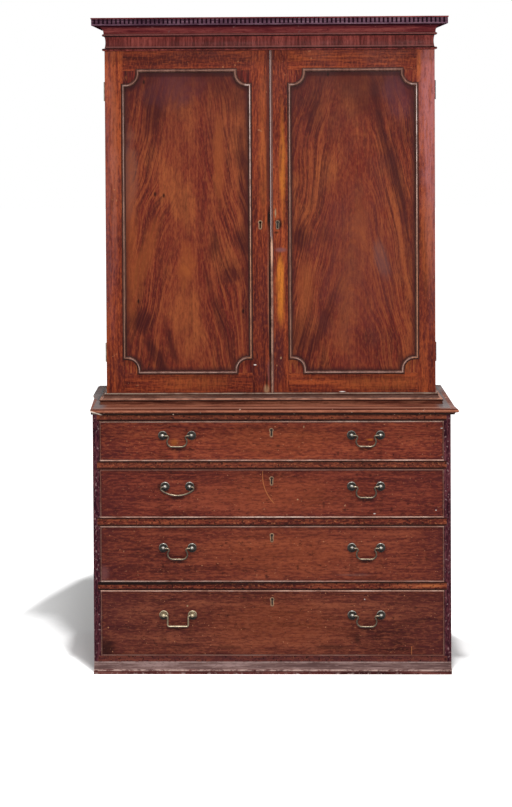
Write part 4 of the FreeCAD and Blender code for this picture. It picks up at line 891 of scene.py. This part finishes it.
def cock_finish(number, head_share, foot_share):
    finish, place = start_finish(f"drawer_{number}_bead_rubbed_highlit")
    low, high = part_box(f"drawer_{number}_cockbead")
    colour, height = timber(run_along(place, "x"), bead_pale, number * 1.3)
    # Painted highlight on the level runs at the foot and the head, as if lit from above.
    at_foot = ease(place.z, low[2] + BEAD_BAND, low[2]) * foot_share
    at_head = ease(place.z, high[2] - BEAD_BAND, high[2]) * head_share
    broken = ease(blotches(place, 16.0, 4.0, 0.7), 0.3, 0.5, 0.5, 1.0)
    pale = most(at_foot, at_head, 0.12) * broken
    return polish(finish, place, lay(pale, bead_brown, colour), height)


for number, head_share, foot_share in zip(DRAWERS, HEAD_SHARES, FOOT_SHARES):
    dress([f"drawer_{number}_cockbead"], cock_finish(number, head_share, foot_share))
print("cock beads finished")

# %% [markdown]
# ## The rails
# The rails between the drawers are the same timber, chipped along the front, with a painted black
# line of shadow in the gap where each meets a drawer. Above the bottom drawer that painted shadow
# gapes, blackest on the left. The upper rails are painted paler, as if more light reached them.
# Behind the rails lie thin pine dust boards, part of the same node, so the finish changes with depth.

# %% Rails and dust boards
RAIL_EDGES = (0.275, 0.302, 0.488, 0.515, 0.676, 0.703, 0.836)
RAIL_BACK = -0.19
RAIL_LIGHT = (0.6, 0.72)
SHADOW_LINE = (0.008, 0.0025)
GAPE = (0.297, 0.009)
GAPE_FADE = (0.3, -0.5)
FOOT_GREY = (0.075, 0.05)
rail_tones = (tone(62, 22, 19), tone(104, 44, 33), tone(148, 76, 50))
pine_tones = (tone(112, 82, 52), tone(146, 110, 72), tone(168, 132, 92))
rail_lit_pale = tone(132, 70, 50)
rail_chip = tone(178, 112, 72)
rail_pit = tone(30, 12, 10)
rail_foot = tone(78, 42, 46)
gape_shadow_black = tone(18, 6, 5)
line_shadow_black = tone(24, 8, 7)
rail_marks = [((0.52, 0.289), (0.06, 0.008), 0.8, tone(176, 100, 58))]


def rail_finish(name):
    finish, place = start_finish(name)
    run = run_along(place, "x")
    front, height = timber(run, rail_tones, shift=1.0)
    # The upper rails are painted paler, as if more light reached them.
    front = lay(ease(place.z, *RAIL_LIGHT, 0.0, 0.4), front, rail_lit_pale)
    front = gritty(place, "x", front, rail_tones[0], rail_tones[2], 0.5)
    front = specks(place, front, rail_chip, size=150.0, sparse=0.62, amount=0.55)
    # Painted shadow in the gap above the bottom drawer.
    front = lay(stripe(place.z, *GAPE) * ease(place.x, *GAPE_FADE, 0.2, 1.0), front, gape_shadow_black)
    front = lay(ease(place.z, *FOOT_GREY, 0.0, 0.55), front, rail_foot)
    front = marked(place, front, rail_marks)
    front = specks(place, front, rail_pit, size=120.0, sparse=0.58, amount=0.8)
    # Painted shadow where each rail meets a drawer.
    to_drawer = least(*(abs(place.z - edge) for edge in RAIL_EDGES))
    front = lay(ease(to_drawer, *SHADOW_LINE, 0.0, 0.9), front, line_shadow_black)
    pine, _ = timber(run, pine_tones, shift=5.0)
    behind = place.y > RAIL_BACK
    return polish(finish, place, lay(behind, front, pine), height, behind)


dress(["drawer_dividers"], rail_finish("rail_mahogany"))
print("rails finished")

# %% [markdown]
# ## The sides and the ledge
# Seen from the front, the sides of the chest are plum-dark uprights full of small chips, and their
# flanks are plain red-brown boards with little shine, so the way a face looks chooses between the
# two. The ledge between the stages is faded, rubbed pale at its front edge and grey beside the
# cupboard.

# %% Sides and ledge
LEDGE_RUB = (-0.244, -0.253)
LEDGE_BESIDE = (0.54, 0.57)
upright_tones = (tone(38, 14, 24), tone(66, 29, 38), tone(102, 54, 60))
flank_tones = (tone(56, 22, 20), tone(92, 40, 32), tone(128, 64, 46))
ledge_tones = (tone(66, 30, 23), tone(108, 59, 44), tone(146, 92, 70))
ledge_crest = tone(158, 114, 96)
ledge_grey = tone(104, 96, 96)
chest_worn = tone(148, 116, 116)


def side_finish(name, tones, chipped):
    finish, place = start_finish(name)
    run = run_along(place, "z")
    colour, height = timber(run, tones, shift=2.0)
    colour, dull = rubbed_edges(place, colour, chest_worn, radius=0.003, amount=0.5)
    colour = gritty(place, "z", colour, tones[0], tones[2], 0.6)
    colour = specks(place, colour, chest_worn, size=130.0, sparse=0.62, amount=chipped)
    flank, _ = timber(run, flank_tones, shift=8.0, contrast=0.12)
    colour = lay(abs(facing(place).x) > 0.5, colour, flank)
    return polish(finish, place, colour, height, dull, rough=(0.58, 0.7), gloss=0.03)


def ledge_finish(name):
    finish, place = start_finish(name)
    colour, height = timber(run_along(place, "x"), ledge_tones, shift=3.0)
    colour = lay(ease(place.y, *LEDGE_RUB, 0.0, 0.75), colour, ledge_crest)
    colour = lay(ease(abs(place.x), *LEDGE_BESIDE, 0.0, 0.8), colour, ledge_grey)
    return polish(finish, place, colour, height, dull=0.3)


dress(["lower_sides"], side_finish("lower_side_mahogany", upright_tones, 0.75))
dress(["upper_sides"], side_finish("upper_side_mahogany", flank_tones, 0.15))
dress(["ledge_board"], ledge_finish("ledge_faded"))
print("sides and ledge finished")

# %% [markdown]
# ## The lip
# The nose of the lip is pale, partly rubbed and partly a painted highlight, the quirk above it and
# the hollow below it are painted dark as shade, and the timber shows raw where the left end has
# broken away. Height alone tells nose from hollow, so stripes on the height draw them.

# %% Lip
LIP_NOSE = (0.8705, 0.004)
LIP_QUIRK = (0.8755, 0.0018)
LIP_HOLLOW = (0.865, 0.863)
BREAK_CENTRE = (-0.582, 0.866)
BREAK_RADII = (0.012, 0.012)
BREAK_LEAN = -2.4
lip_tones = (tone(72, 30, 22), tone(106, 54, 38), tone(134, 76, 56))
nose_worn_highlight = tone(172, 110, 84)
quirk_shade_dark = tone(62, 22, 14)
hollow_shadow_black = tone(20, 7, 5)
raw_break = tone(232, 216, 200)
lip_chip = tone(206, 176, 156)


def lip_finish(name):
    finish, place = start_finish(name)
    colour, height = timber(run_along(place, "x"), lip_tones, shift=4.0)
    rub = ease(blotches(place, 24.0, 4.0, 0.65), 0.32, 0.58, 0.3, 1.0)
    # Painted highlight on the nose, painted shade in the quirk and the hollow.
    nose = stripe(place.z, *LIP_NOSE, 0.75) * rub
    colour = lay(nose, colour, nose_worn_highlight)
    colour = lay(stripe(place.z, *LIP_QUIRK, 0.8), colour, quirk_shade_dark)
    colour = lay(ease(place.z, *LIP_HOLLOW, 0.0, 0.95), colour, hollow_shadow_black)
    raw = patch(leaning(place, BREAK_CENTRE, BREAK_LEAN), BREAK_CENTRE, BREAK_RADII, ragged=0.3)
    colour = lay(raw, colour, raw_break)
    colour = specks(place, colour, lip_chip, size=85.0, sparse=0.68, amount=0.8)
    return polish(finish, place, colour, height, nose)


dress(["waist_moulding"], lip_finish("lip_rubbed_lit_shaded"))
print("lip finished")

# %% [markdown]
# ## The plinth
# The square foot of the plinth keeps its red-brown, the arris above it is knocked pale, and the
# hollow over that is grey-pink. Stripes on the height draw all three.

# %% Plinth
PLINTH_ARRIS = 0.013
PLINTH_TOP = 0.0355
ARRIS_HALF = 0.003
SCUFF_TOP = 0.009
foot_tones = (tone(50, 20, 20), tone(86, 42, 40), tone(116, 68, 62))
hollow_tones = (tone(84, 60, 58), tone(116, 90, 86), tone(146, 120, 116))
arris_pale = tone(194, 166, 156)
brow_pale = tone(176, 154, 148)
scuff_pale = tone(176, 150, 144)
plinth_worn = tone(176, 152, 146)


def plinth_finish(name):
    finish, place = start_finish(name)
    run = run_along(place, "x")
    foot, height = timber(run, foot_tones, shift=5.0)
    hollow, _ = timber(run, hollow_tones, shift=6.0)
    colour = lay(ease(place.z, PLINTH_ARRIS, PLINTH_ARRIS + ARRIS_HALF), foot, hollow)
    broken = ease(blotches(place, 45.0, 4.0, 0.7), 0.38, 0.58)
    arris = ease(abs(place.z - PLINTH_ARRIS), ARRIS_HALF, 0.0) * broken
    colour = lay(arris * 0.9, colour, arris_pale)
    colour = lay(stripe(place.z, PLINTH_TOP, ARRIS_HALF, 0.6) * broken, colour, brow_pale)
    scuffs = ease(blotches(place, 75.0, 3.0, 0.6), 0.54, 0.66)
    colour = lay(ease(place.z, SCUFF_TOP, 0.0) * scuffs, colour, scuff_pale)
    colour, dull = rubbed_edges(place, colour, plinth_worn, radius=0.003, amount=0.6)
    return polish(finish, place, colour, height, dull, rough=(0.5, 0.66))


dress(["plinth_moulding"], plinth_finish("plinth_scuffed"))
print("plinth finished")

# %% [markdown]
# ## The crown
# Cornice and frieze catch a cooler light and have gone purple-brown with soot, and the frieze is
# veneered with its grain standing up between two beads. Faces of the cornice that look down are
# painted darker as shade, and each bead of the frieze has a painted highlight on its crest over a
# black line of painted shadow. Behind and above, where nobody looks, they are raw timber, so the way
# a face looks chooses between soot and raw wood.

# %% Cornice and frieze
FRIEZE_BEADS = (2.0715, 2.113)
BEAD_HALF = 0.0034
MATT = (0.6, 0.8)
cornice_tones = (tone(76, 26, 31), tone(112, 47, 49), tone(136, 68, 64))
frieze_tones = (tone(76, 26, 24), tone(114, 48, 44), tone(146, 70, 62))
raw_tones = (tone(78, 52, 40), tone(106, 76, 58), tone(130, 98, 78))
cornice_shade = tone(42, 16, 26)
cornice_speck = tone(124, 84, 84)
frieze_bead_highlight = tone(140, 92, 88)
frieze_bead_shadow = tone(26, 9, 10)


def raw_inside(place, colour):
    """Lays unpolished, dusty timber over the faces that look back, up or towards the middle."""
    raw, _ = timber(run_along(place, "x"), raw_tones, shift=2.0)
    looks = facing(place)
    inward = place.x * looks.x < -0.1
    return lay(most(inward, looks.z > 0.9, looks.y > 0.5), colour, raw)


def cornice_finish(name):
    finish, place = start_finish(name)
    colour, height = timber(run_along(place, "x"), cornice_tones, shift=6.0)
    # Painted shade on the faces that look down.
    colour = lay(ease(facing(place).z, -0.55, -0.95, 0.0, 0.9), colour, cornice_shade)
    colour = specks(place, colour, cornice_speck)
    return polish(finish, place, raw_inside(place, colour), height, dull=0.5, rough=MATT, gloss=0.0)


def frieze_finish(name):
    finish, place = start_finish(name)
    colour, height = timber(run_along(place, "z"), frieze_tones, shift=7.0)
    strips = noise(vector(place.x, place.y, 3.0), 90.0, 3.0, 0.7)
    colour = lay(ease(strips, 0.5, 0.68, 0.0, 0.4), colour, frieze_tones[0])
    colour = lay(ease(strips, 0.46, 0.3, 0.0, 0.4), colour, frieze_tones[2])
    dull = 0.0
    for bead in FRIEZE_BEADS:
        # Painted highlight on the bead's crest and a painted shadow line under it.
        crest = stripe(place.z, bead, BEAD_HALF, 0.7)
        colour = lay(crest, colour, frieze_bead_highlight)
        colour = lay(stripe(place.z, bead - 1.6 * BEAD_HALF, BEAD_HALF, 0.95), colour, frieze_bead_shadow)
        dull = most(crest, dull)
    return polish(finish, place, raw_inside(place, colour), height, dull)


dress(["cornice_moulding"], cornice_finish("cornice_sooty_shaded"))
dress(["frieze"], frieze_finish("frieze_crossgrain"))
print("crown finished")

# %% [markdown]
# ## The foot of the cupboard
# The base moulding below the doors is dusty, with a pale crest, partly rubbed and partly a painted
# highlight, over a black line of painted shadow. All of these lie at heights of their own, so
# stripes on the height draw them. The bottom board is plain timber with rubbed edges and a few
# specks.

# %% Base moulding and bottom board
BASE_CREST = (0.895, 0.0028)
BASE_DUST = (0.912, 0.003)
BASE_FOOT = (0.893, 0.890)
BASE_SHADOW_LINE = (0.8905, 0.0026)
base_tones = (tone(58, 31, 24), tone(82, 49, 39), tone(106, 72, 58))
base_worn_highlight = tone(176, 124, 102)
base_grey = tone(146, 126, 112)
base_shadow_black = tone(30, 10, 8)


def base_finish(name):
    finish, place = start_finish(name)
    run = run_along(place, "x")
    colour, height = timber(run, base_tones, shift=8.0)
    foot, _ = timber(run, ledge_tones, shift=9.0)
    rub = ease(blotches(place, 26.0, 4.0, 0.65), 0.34, 0.6, 0.25, 1.0)
    # Painted highlight on the crest and a painted shadow line below it.
    crest = stripe(place.z, *BASE_CREST, 0.8) * rub
    colour = lay(crest, colour, base_worn_highlight)
    colour = lay(stripe(place.z, *BASE_DUST, 0.8) * rub, colour, base_grey)
    colour = lay(ease(place.z, *BASE_FOOT), colour, foot)
    colour = lay(stripe(place.z, *BASE_SHADOW_LINE, 0.9), colour, base_shadow_black)
    return polish(finish, place, colour, height, crest)


def bottom_finish(name):
    finish, place = start_finish(name)
    colour, height = timber(run_along(place, "x"), rail_tones, shift=9.0, contrast=0.1)
    colour, dull = rubbed_edges(place, colour, chest_worn)
    return polish(finish, place, specks(place, colour, chest_worn), height, dull)


dress(["base_moulding"], base_finish("base_dusty_lit_shaded"))
dress(["upper_bottom_board"], bottom_finish("board_mahogany"))
print("foot of the cupboard finished")

# %% [markdown]
# ## The dentils
# The little blocks are purple-grey with dust on their faces, and the slots between are painted
# nearly black as shade. The slots are only a few millimetres deep, so their colour follows the
# depth behind the faces, at the front and on the two returns.

# %% Dentils
DENTIL_SLOT = 0.004
dentil_low, dentil_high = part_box("dentil_course")
dentil_tones = (tone(62, 38, 50), tone(92, 64, 78), tone(120, 92, 104))
slot_shade_dark = tone(40, 20, 32)
dentil_worn = tone(132, 106, 112)


def dentil_finish(name):
    finish, place = start_finish(name)
    colour, height = timber(run_along(place, "x"), dentil_tones, shift=6.0)
    # Painted shade: the slots turn nearly black with depth.
    behind = least(place.y - dentil_low[1], dentil_high[0] - abs(place.x))
    colour = lay(ease(behind, 0.1 * DENTIL_SLOT, 0.6 * DENTIL_SLOT), colour, slot_shade_dark)
    colour, dull = rubbed_edges(place, colour, dentil_worn, radius=0.0015, amount=0.4)
    return polish(finish, place, colour, height, dull, rough=MATT, gloss=0.0)


dress(["dentil_course"], dentil_finish("dentil_dusty_shaded"))
print("dentils finished")

# %% [markdown]
# ## Linings and backs
# Inside, nothing is polished: drawer boxes and trays are oak planed by hand, dry and matt, and the
# backs are pine planks gone brown with dust, each a shade of its own, with two nails at each end.
# The planks stand upright behind the cupboard and lie level behind the chest. The grain of the trays
# runs across the press, and that of the drawer boxes from front to back. The top board is the same
# raw timber as the back of the cornice.

# %% Oak and pine
UPPER_PLANKS = 5
LOWER_PLANKS = 4
PLANK_GAP = 0.0008
NAIL_HEAD = (0.0052, 0.0036)
NAIL_OUT = 0.072
NAIL_IN = 0.03
oak_tones = (tone(120, 86, 56), tone(154, 116, 78), tone(178, 142, 102))
planed_edge = tone(196, 166, 130)
dusty_edge = tone(46, 34, 22)
nail_iron = tone(26, 20, 17)


def planked(run, axis, node, planks):
    """Cuts a back into planks: returns its grain lines, a shade for each plank and its nail heads."""
    along, across, depth = run
    low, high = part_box(node)
    lie, pile = (2, 0) if axis == "z" else (0, 2)
    pitch = (high[pile] - low[pile] + PLANK_GAP) / planks
    count = (across - low[pile]) / pitch
    plank = calc("FLOOR", count)
    random_shade = add(plank.tree, "TexWhiteNoise", {"W": plank}, noise_dimensions="1D")
    off_nail = abs(calc("FRACT", count) - 0.5) * pitch - NAIL_OUT
    reach = (high[lie] - low[lie]) / 2 - NAIL_IN
    off_row = abs(along - (low[lie] + high[lie]) / 2) - reach
    nails = ease((off_nail ** 2 + off_row ** 2) ** 0.5, *NAIL_HEAD)
    return (plank * 3.1 + along, across, depth), Wire(plank.tree, random_shade.outputs["Value"]), nails


def dry_finish(name, axis, tones, shift, edge, node=None, planks=0):
    finish, place = start_finish(name)
    run = run_along(place, axis)
    if planks:
        run, shade, nails = planked(run, axis, node, planks)
    colour, height = timber(run, tones, shift, contrast=0.14)
    colour, dull = rubbed_edges(place, colour, edge, radius=0.003, amount=0.6)
    if planks:
        colour = lay(shade * 0.6, colour, tones[0])
        colour = lay(nails, colour, nail_iron)
    stains = blotches(place, 4.0, 5.0, 0.6)
    colour = lay(ease(stains, 0.52, 0.75, 0.0, 0.5), colour, tones[0])
    return polish(finish, place, colour, height, dull, rough=(0.62, 0.78), relief=0.0004)


def back_finish(name, axis, shift, node, planks):
    return dry_finish(name, axis, pine_tones, shift, dusty_edge, node, planks)


lining_oak = dry_finish("lining_oak", "y", oak_tones, 1.0, planed_edge)
dress([f"drawer_{number}_box" for number in DRAWERS], lining_oak)
tray_oak = dry_finish("tray_oak", "x", oak_tones, 2.0, planed_edge)
dress([f"tray_{number}" for number in DRAWERS] + ["tray_runners"], tray_oak)
upper_pine = back_finish("upper_back_pine", "z", 3.0, "upper_back_boards", UPPER_PLANKS)
dress(["upper_back_boards"], upper_pine)
lower_pine = back_finish("lower_back_pine", "x", 7.0, "lower_back_boards", LOWER_PLANKS)
dress(["lower_back_boards"], lower_pine)
dress(["upper_top_board"], dry_finish("top_board_raw", "x", raw_tones, 5.0, dusty_edge))
print("linings finished, back planks", UPPER_PLANKS + LOWER_PLANKS)

# %% [markdown]
# ## Tarnished brass
# The handles have not been polished for years: olive-grey and nearly black in the hollows. Faces
# that look up are painted brighter as if lit from above, the lower half of each rosette is painted
# black as shade, and so is the inside of each keyhole. Metal takes its look from what it mirrors,
# so the tarnish is a darker, rougher metal that a noise lays over a lighter, smoother one. The left
# pull of the bottom drawer is a replacement and still shows more yellow. The thread round the right
# door's keyhole is mostly lost, so it is nearly black.

# %% Brass
drawer_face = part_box("drawer_1_front")[0][1]
KEYHOLE_DEPTH = 0.003
THREAD_DEPTH = 0.001
LOST_DEPTH = 0.0005
DISH_DEPTH = 0.0022
FOOT_SHADE = (-0.001, 0.008)
BRASS_STOPS = (0.3, 0.5, 0.78)
PALE_STOPS = (0.25, 0.45, 0.75)
BRASS_RELIEF = 0.0002
soot_and_shade = tone(30, 25, 21)
foot_shade_black = tone(8, 6, 5)


def brass_finish(name, tones, metal=0.5, hollow=None, paler=None, foot=None):
    """hollow is (start, end): between those depths the metal turns black, with dirt in a rosette's
    dish and painted shade inside a keyhole.
    paler holds the tones of the metal on the left half of the press.
    foot is a height: below it the metal is painted black, as shade on the lower half of a rosette."""
    finish, place = start_finish(name)
    tree = finish.node_tree
    shader = tree.nodes["Principled BSDF"]
    tarnish = blotches(place, 90.0, 4.0, 0.6)
    # Faces that look up are painted brighter: a painted highlight, mixed with the tarnish noise.
    tarnish_and_top_light = facing(place).z * 0.4 + tarnish * 0.5 + 0.2
    colour = ramp(tarnish_and_top_light, list(zip(BRASS_STOPS, tones)))
    if hollow:
        colour = lay(ease(place.y, *hollow), colour, soot_and_shade)
    if paler:
        colour = lay(place.x < 0.0, colour, ramp(tarnish_and_top_light, list(zip(PALE_STOPS, paler))))
    # Painted shade: the lower half of a rosette is black.
    if foot:
        below = ease(place.z, foot - FOOT_SHADE[0], foot - FOOT_SHADE[1], 0.0, 0.97)
        colour = lay(below, colour, foot_shade_black)
    plug(tree, shader.inputs["Base Color"], colour)
    plug(tree, shader.inputs["Roughness"], ease(tarnish, 0.35, 0.65, 0.5, 0.34))
    shader.inputs["Metallic"].default_value = metal
    bump = add(tree, "Bump", {"Height": tarnish, "Distance": BRASS_RELIEF, "Strength": 0.3})
    plug(tree, shader.inputs["Normal"], Wire(tree, bump.outputs[0]))
    return finish


olive = (tone(14, 12, 11), tone(62, 57, 50), tone(196, 192, 182))
yellow = (tone(52, 44, 33), tone(118, 103, 80), tone(206, 192, 160))
bail_tones = (tone(24, 19, 14), tone(74, 61, 47), tone(152, 136, 112))
thread_tones = (tone(80, 56, 38), tone(132, 98, 70), tone(172, 138, 106))
lost_tones = (tone(24, 16, 12), tone(98, 74, 54), tone(206, 178, 146))
hinge_tones = (tone(30, 18, 20), tone(64, 42, 44), tone(104, 80, 78))
hinge_pale = (tone(84, 76, 66), tone(146, 134, 118), tone(206, 198, 184))

dish = (drawer_face - DISH_DEPTH, drawer_face - 0.5 * DISH_DEPTH)
bail_brass = brass_finish("bail_brass", bail_tones)
for number in DRAWERS:
    post_low, post_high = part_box(f"drawer_{number}_handle_posts")
    paler = yellow if number == 4 else None
    axis = (post_low[2] + post_high[2]) / 2
    posts_brass = brass_finish(f"posts_brass_{number}", olive, hollow=dish, paler=paler, foot=axis)
    dress([f"drawer_{number}_handle_posts"], posts_brass)
    dress([f"drawer_{number}_{side}_bail" for side in SIDES], bail_brass)
dress(["drawer_4_left_bail"], brass_finish("replaced_brass", yellow))


# A keyhole's inside is painted black, as shade.
def thread_finish(name, tones, face, depth):
    return brass_finish(name, tones, metal=0.4, hollow=(face + depth, face + KEYHOLE_DEPTH))


drawer_thread = thread_finish("drawer_thread_brass", thread_tones, drawer_face, THREAD_DEPTH)
dress([f"drawer_{number}_lock" for number in DRAWERS], drawer_thread)
dress(["left_door_escutcheon"], thread_finish("door_thread_brass", thread_tones, door_face, THREAD_DEPTH))
dress(["right_door_lock"], thread_finish("right_thread_brass", lost_tones, door_face, LOST_DEPTH))
hinge_brass = brass_finish("hinge_brass", hinge_tones, paler=hinge_pale)
dress(["carcass_hinge_leaves", "left_door_hinge_leaves", "right_door_hinge_leaves"], hinge_brass)
print("brass tarnished")

# %% [markdown]
# ## One screw
# Each hinge leaf is held by three countersunk screws and each lock by four. A screw head is a low
# disc with a slot filed across it. The slot could be cut with a boolean, but an inset, two bisects
# and a short extrusion downwards give it clean edges and few faces. One head is modelled here.

# %% Screw pattern
SCREW_RADIUS = 0.0031
SCREW_SIDES = 20
SCREW_DEPTH = 0.0012
SCREW_PROUD = 0.0003
SCREW_RIM = 0.0005
SLOT_HALF = 0.00045
SLOT_DEPTH = 0.0006
LEVEL = 0.9


def start_piece(name):
    piece = bpy.context.object
    piece.name = name
    bpy.ops.object.mode_set(mode="EDIT")
    bpy.ops.mesh.select_mode(type="FACE")
    return piece


def pick_faces(piece, wanted):
    """Selects the faces whose middle and normal are wanted."""
    bpy.ops.mesh.select_all(action="DESELECT")
    shape = bmesh.from_edit_mesh(piece.data)
    for face in shape.faces:
        face.select_set(wanted(face.calc_center_median(), face.normal))
    bmesh.update_edit_mesh(piece.data)


def on_top(middle, normal):
    return normal.z > LEVEL and middle.length < SCREW_RADIUS


def within_rim(middle, normal):
    return normal.z > LEVEL and abs(middle.x) < SCREW_RADIUS / 2


def in_slot(middle, normal):
    inside = abs(middle.x) < SCREW_RADIUS - 2 * SCREW_RIM
    return normal.z > LEVEL and abs(middle.y) < SLOT_HALF and inside


bpy.ops.object.select_all(action="DESELECT")
bpy.ops.mesh.primitive_cylinder_add(vertices=SCREW_SIDES, radius=SCREW_RADIUS, depth=SCREW_DEPTH)
screw = start_piece("screw_pattern")
bpy.ops.mesh.select_all(action="SELECT")
bpy.ops.transform.translate(value=(0, 0, SCREW_PROUD - SCREW_DEPTH / 2))
pick_faces(screw, on_top)
bpy.ops.mesh.inset(thickness=SCREW_RIM)
for edge in (-SLOT_HALF, SLOT_HALF):
    pick_faces(screw, within_rim)
    bpy.ops.mesh.bisect(plane_co=(0, edge, 0), plane_no=(0, 1, 0))
pick_faces(screw, in_slot)
bpy.ops.mesh.extrude_region_move(TRANSFORM_OT_translate={"value": (0, 0, -SLOT_DEPTH)})
bpy.ops.object.mode_set(mode="OBJECT")
print("screw faces", len(screw.data.polygons))

# %% [markdown]
# ## Driving the screws
# The head is copied to every place, each copy with a mesh of its own that is stood there, because a
# finished piece stays at the origin. Each copy is turned further than the one before, because a
# joiner stops when the screw is tight. The hinges have brass screws and the locks iron ones.

# %% Screws in hinges and locks
SCREW_TURN = math.radians(67)
HINGE_HEIGHTS = (1.048, 1.924)
LEAF_SCREWS = ((0.5405, -0.021), (0.5375, 0.0), (0.5405, 0.021))
LOCK_EDGE = 0.006
screw_brass = brass_finish("screw_brass", (tone(60, 46, 30), tone(128, 104, 70), tone(186, 160, 114)))
screw_iron = brass_finish("screw_iron", (tone(28, 24, 22), tone(70, 64, 60), tone(126, 120, 114)), metal=0.8)
facing_back = Matrix.Rotation(-math.pi / 2, 4, "X")
facing_front = Matrix.Rotation(math.pi / 2, 4, "X")
carcass_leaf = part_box("upper_sides")[0][1]
door_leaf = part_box("left_door_frame")[1][1]


def set_copy(pattern, name, stand, body, finish):
    """A copy with its own mesh, stood in its place and riding on a body."""
    piece = bpy.data.objects.new(name, pattern.data.copy())
    bpy.context.collection.objects.link(piece)
    piece.data.transform(stand)
    piece.data.materials.clear()
    piece.data.materials.append(finish)
    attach(piece, body)


screws = []
for side, hand in SIDES.items():
    for hinge, height in enumerate(HINGE_HEIGHTS):
        for number, (out, rise) in enumerate(LEAF_SCREWS):
            tail = f"{side}_{hinge}_{number}"
            x, z = hand * out, height + rise
            on_door = ("door_hinge_screw_" + tail, (x, door_leaf, z), facing_back, f"{side}_door")
            on_side = ("carcass_hinge_screw_" + tail, (x, carcass_leaf, z), facing_front, "carcass")
            screws += [(*on_door, screw_brass), (*on_side, screw_brass)]
locks = {f"drawer_{number}_lock": f"drawer_{number}" for number in DRAWERS}
locks["right_door_lock"] = "right_door"
for lock, body in locks.items():
    low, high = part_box(lock)
    for number, x in enumerate((low[0] + LOCK_EDGE, high[0] - LOCK_EDGE)):
        for row, z in enumerate((low[2] + LOCK_EDGE, high[2] - LOCK_EDGE)):
            screws.append((f"{lock}_screw_{number}_{row}", (x, high[1], z), facing_back, body, screw_iron))
for count, (name, place, looks, body, finish) in enumerate(screws, 1):
    stand = Matrix.Translation(place) @ looks @ Matrix.Rotation(SCREW_TURN * count, 4, "Z")
    set_copy(screw, name, stand, body, finish)
bpy.data.objects.remove(screw)
print("screws driven", len(screws))

# %% [markdown]
# ## Glue blocks behind the cornice
# Seen from above, the frieze and cornice are a wall standing round the top board. Joiners rub short
# triangular blocks of pine and hot glue into that corner to hold it square. A cube stretched to a
# bar and bisected from edge to edge is such a block, and a small bevel takes off the sharp arrises.

# %% Glue blocks
WELL_FRONT = -0.1255
WELL_SIDE = 0.518
BLOCK_LENGTH = 0.095
BLOCK_LEG = 0.034
BLOCK_ARRIS = 0.0012
FRONT_BLOCKS = (-0.42, -0.21, 0.0, 0.21, 0.42)
SIDE_BLOCKS = (0.0, 0.12, 0.24)
well_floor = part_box("upper_top_board")[1][2]


def stretched_cube(name, size):
    """A cube stretched to its size, in edit mode with all of it selected."""
    bpy.ops.object.select_all(action="DESELECT")
    bpy.ops.mesh.primitive_cube_add(size=1.0)
    piece = start_piece(name)
    bpy.ops.mesh.select_all(action="SELECT")
    bpy.ops.transform.resize(value=size)
    return piece


block = stretched_cube("block_pattern", (BLOCK_LENGTH, BLOCK_LEG, BLOCK_LEG))
bpy.ops.mesh.bisect(plane_co=(0, 0, 0), plane_no=(0, 1, 1), use_fill=True, clear_outer=True)
bpy.ops.mesh.select_all(action="SELECT")
bpy.ops.mesh.bevel(offset=BLOCK_ARRIS, segments=1, affect="EDGES")
bpy.ops.object.mode_set(mode="OBJECT")

block_pine = dry_finish("block_pine", "x", pine_tones, 4.0, planed_edge)
seat = well_floor + BLOCK_LEG / 2
for number, x in enumerate(FRONT_BLOCKS):
    stand = Matrix.Translation((x, WELL_FRONT + BLOCK_LEG / 2, seat))
    set_copy(block, f"front_glue_block_{number}", stand, "carcass", block_pine)
for side, hand in SIDES.items():
    for number, y in enumerate(SIDE_BLOCKS):
        stand = Matrix.Translation((hand * (WELL_SIDE - BLOCK_LEG / 2), y, seat))
        stand = stand @ Matrix.Rotation(hand * math.pi / 2, 4, "Z")
        set_copy(block, f"{side}_glue_block_{number}", stand, "carcass", block_pine)
bpy.data.objects.remove(block)
print("glue blocks rubbed in", len(FRONT_BLOCKS) + 2 * len(SIDE_BLOCKS))

# %% [markdown]
# ## Loose tongues in the back of the cupboard
# Planks shrink, and daylight would show between them when the doors stand open. A loose tongue, a
# thin lath slid into the joint, keeps light and dust away from the linen. A cube is stretched to a
# lath, its front and back arrises are eased with a bevel, and a copy stands in each of the joints.

# %% Loose tongues
TONGUE_EASE = 0.00002
TONGUE_DEPTH = 0.004
TONGUE_ARRIS = 0.0001
TONGUE_SHORT = 0.002
back_low, back_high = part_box("upper_back_boards")
back_middle = [(low + high) / 2 for low, high in zip(back_low, back_high)]
tongue_width = PLANK_GAP - 2 * TONGUE_EASE
tongue_length = back_high[2] - back_low[2] - 2 * TONGUE_SHORT
plank_pitch = (back_high[0] - back_low[0] + PLANK_GAP) / UPPER_PLANKS


def front_or_back(middle, normal):
    return abs(normal.y) > LEVEL


tongue = stretched_cube("tongue_pattern", (tongue_width, TONGUE_DEPTH, tongue_length))
pick_faces(tongue, front_or_back)
bpy.ops.mesh.bevel(offset=TONGUE_ARRIS, segments=1, affect="EDGES")
bpy.ops.object.mode_set(mode="OBJECT")

tongue_pine = dry_finish("tongue_pine", "z", pine_tones, 6.0, dusty_edge)
for joint in range(1, UPPER_PLANKS):
    x = back_low[0] + joint * plank_pitch - PLANK_GAP / 2
    stand = Matrix.Translation((x, back_middle[1], back_middle[2]))
    set_copy(tongue, f"back_tongue_{joint}", stand, "carcass", tongue_pine)
bpy.data.objects.remove(tongue)
print("tongues set", UPPER_PLANKS - 1, "width", round(tongue_width * 1000, 2), "mm")
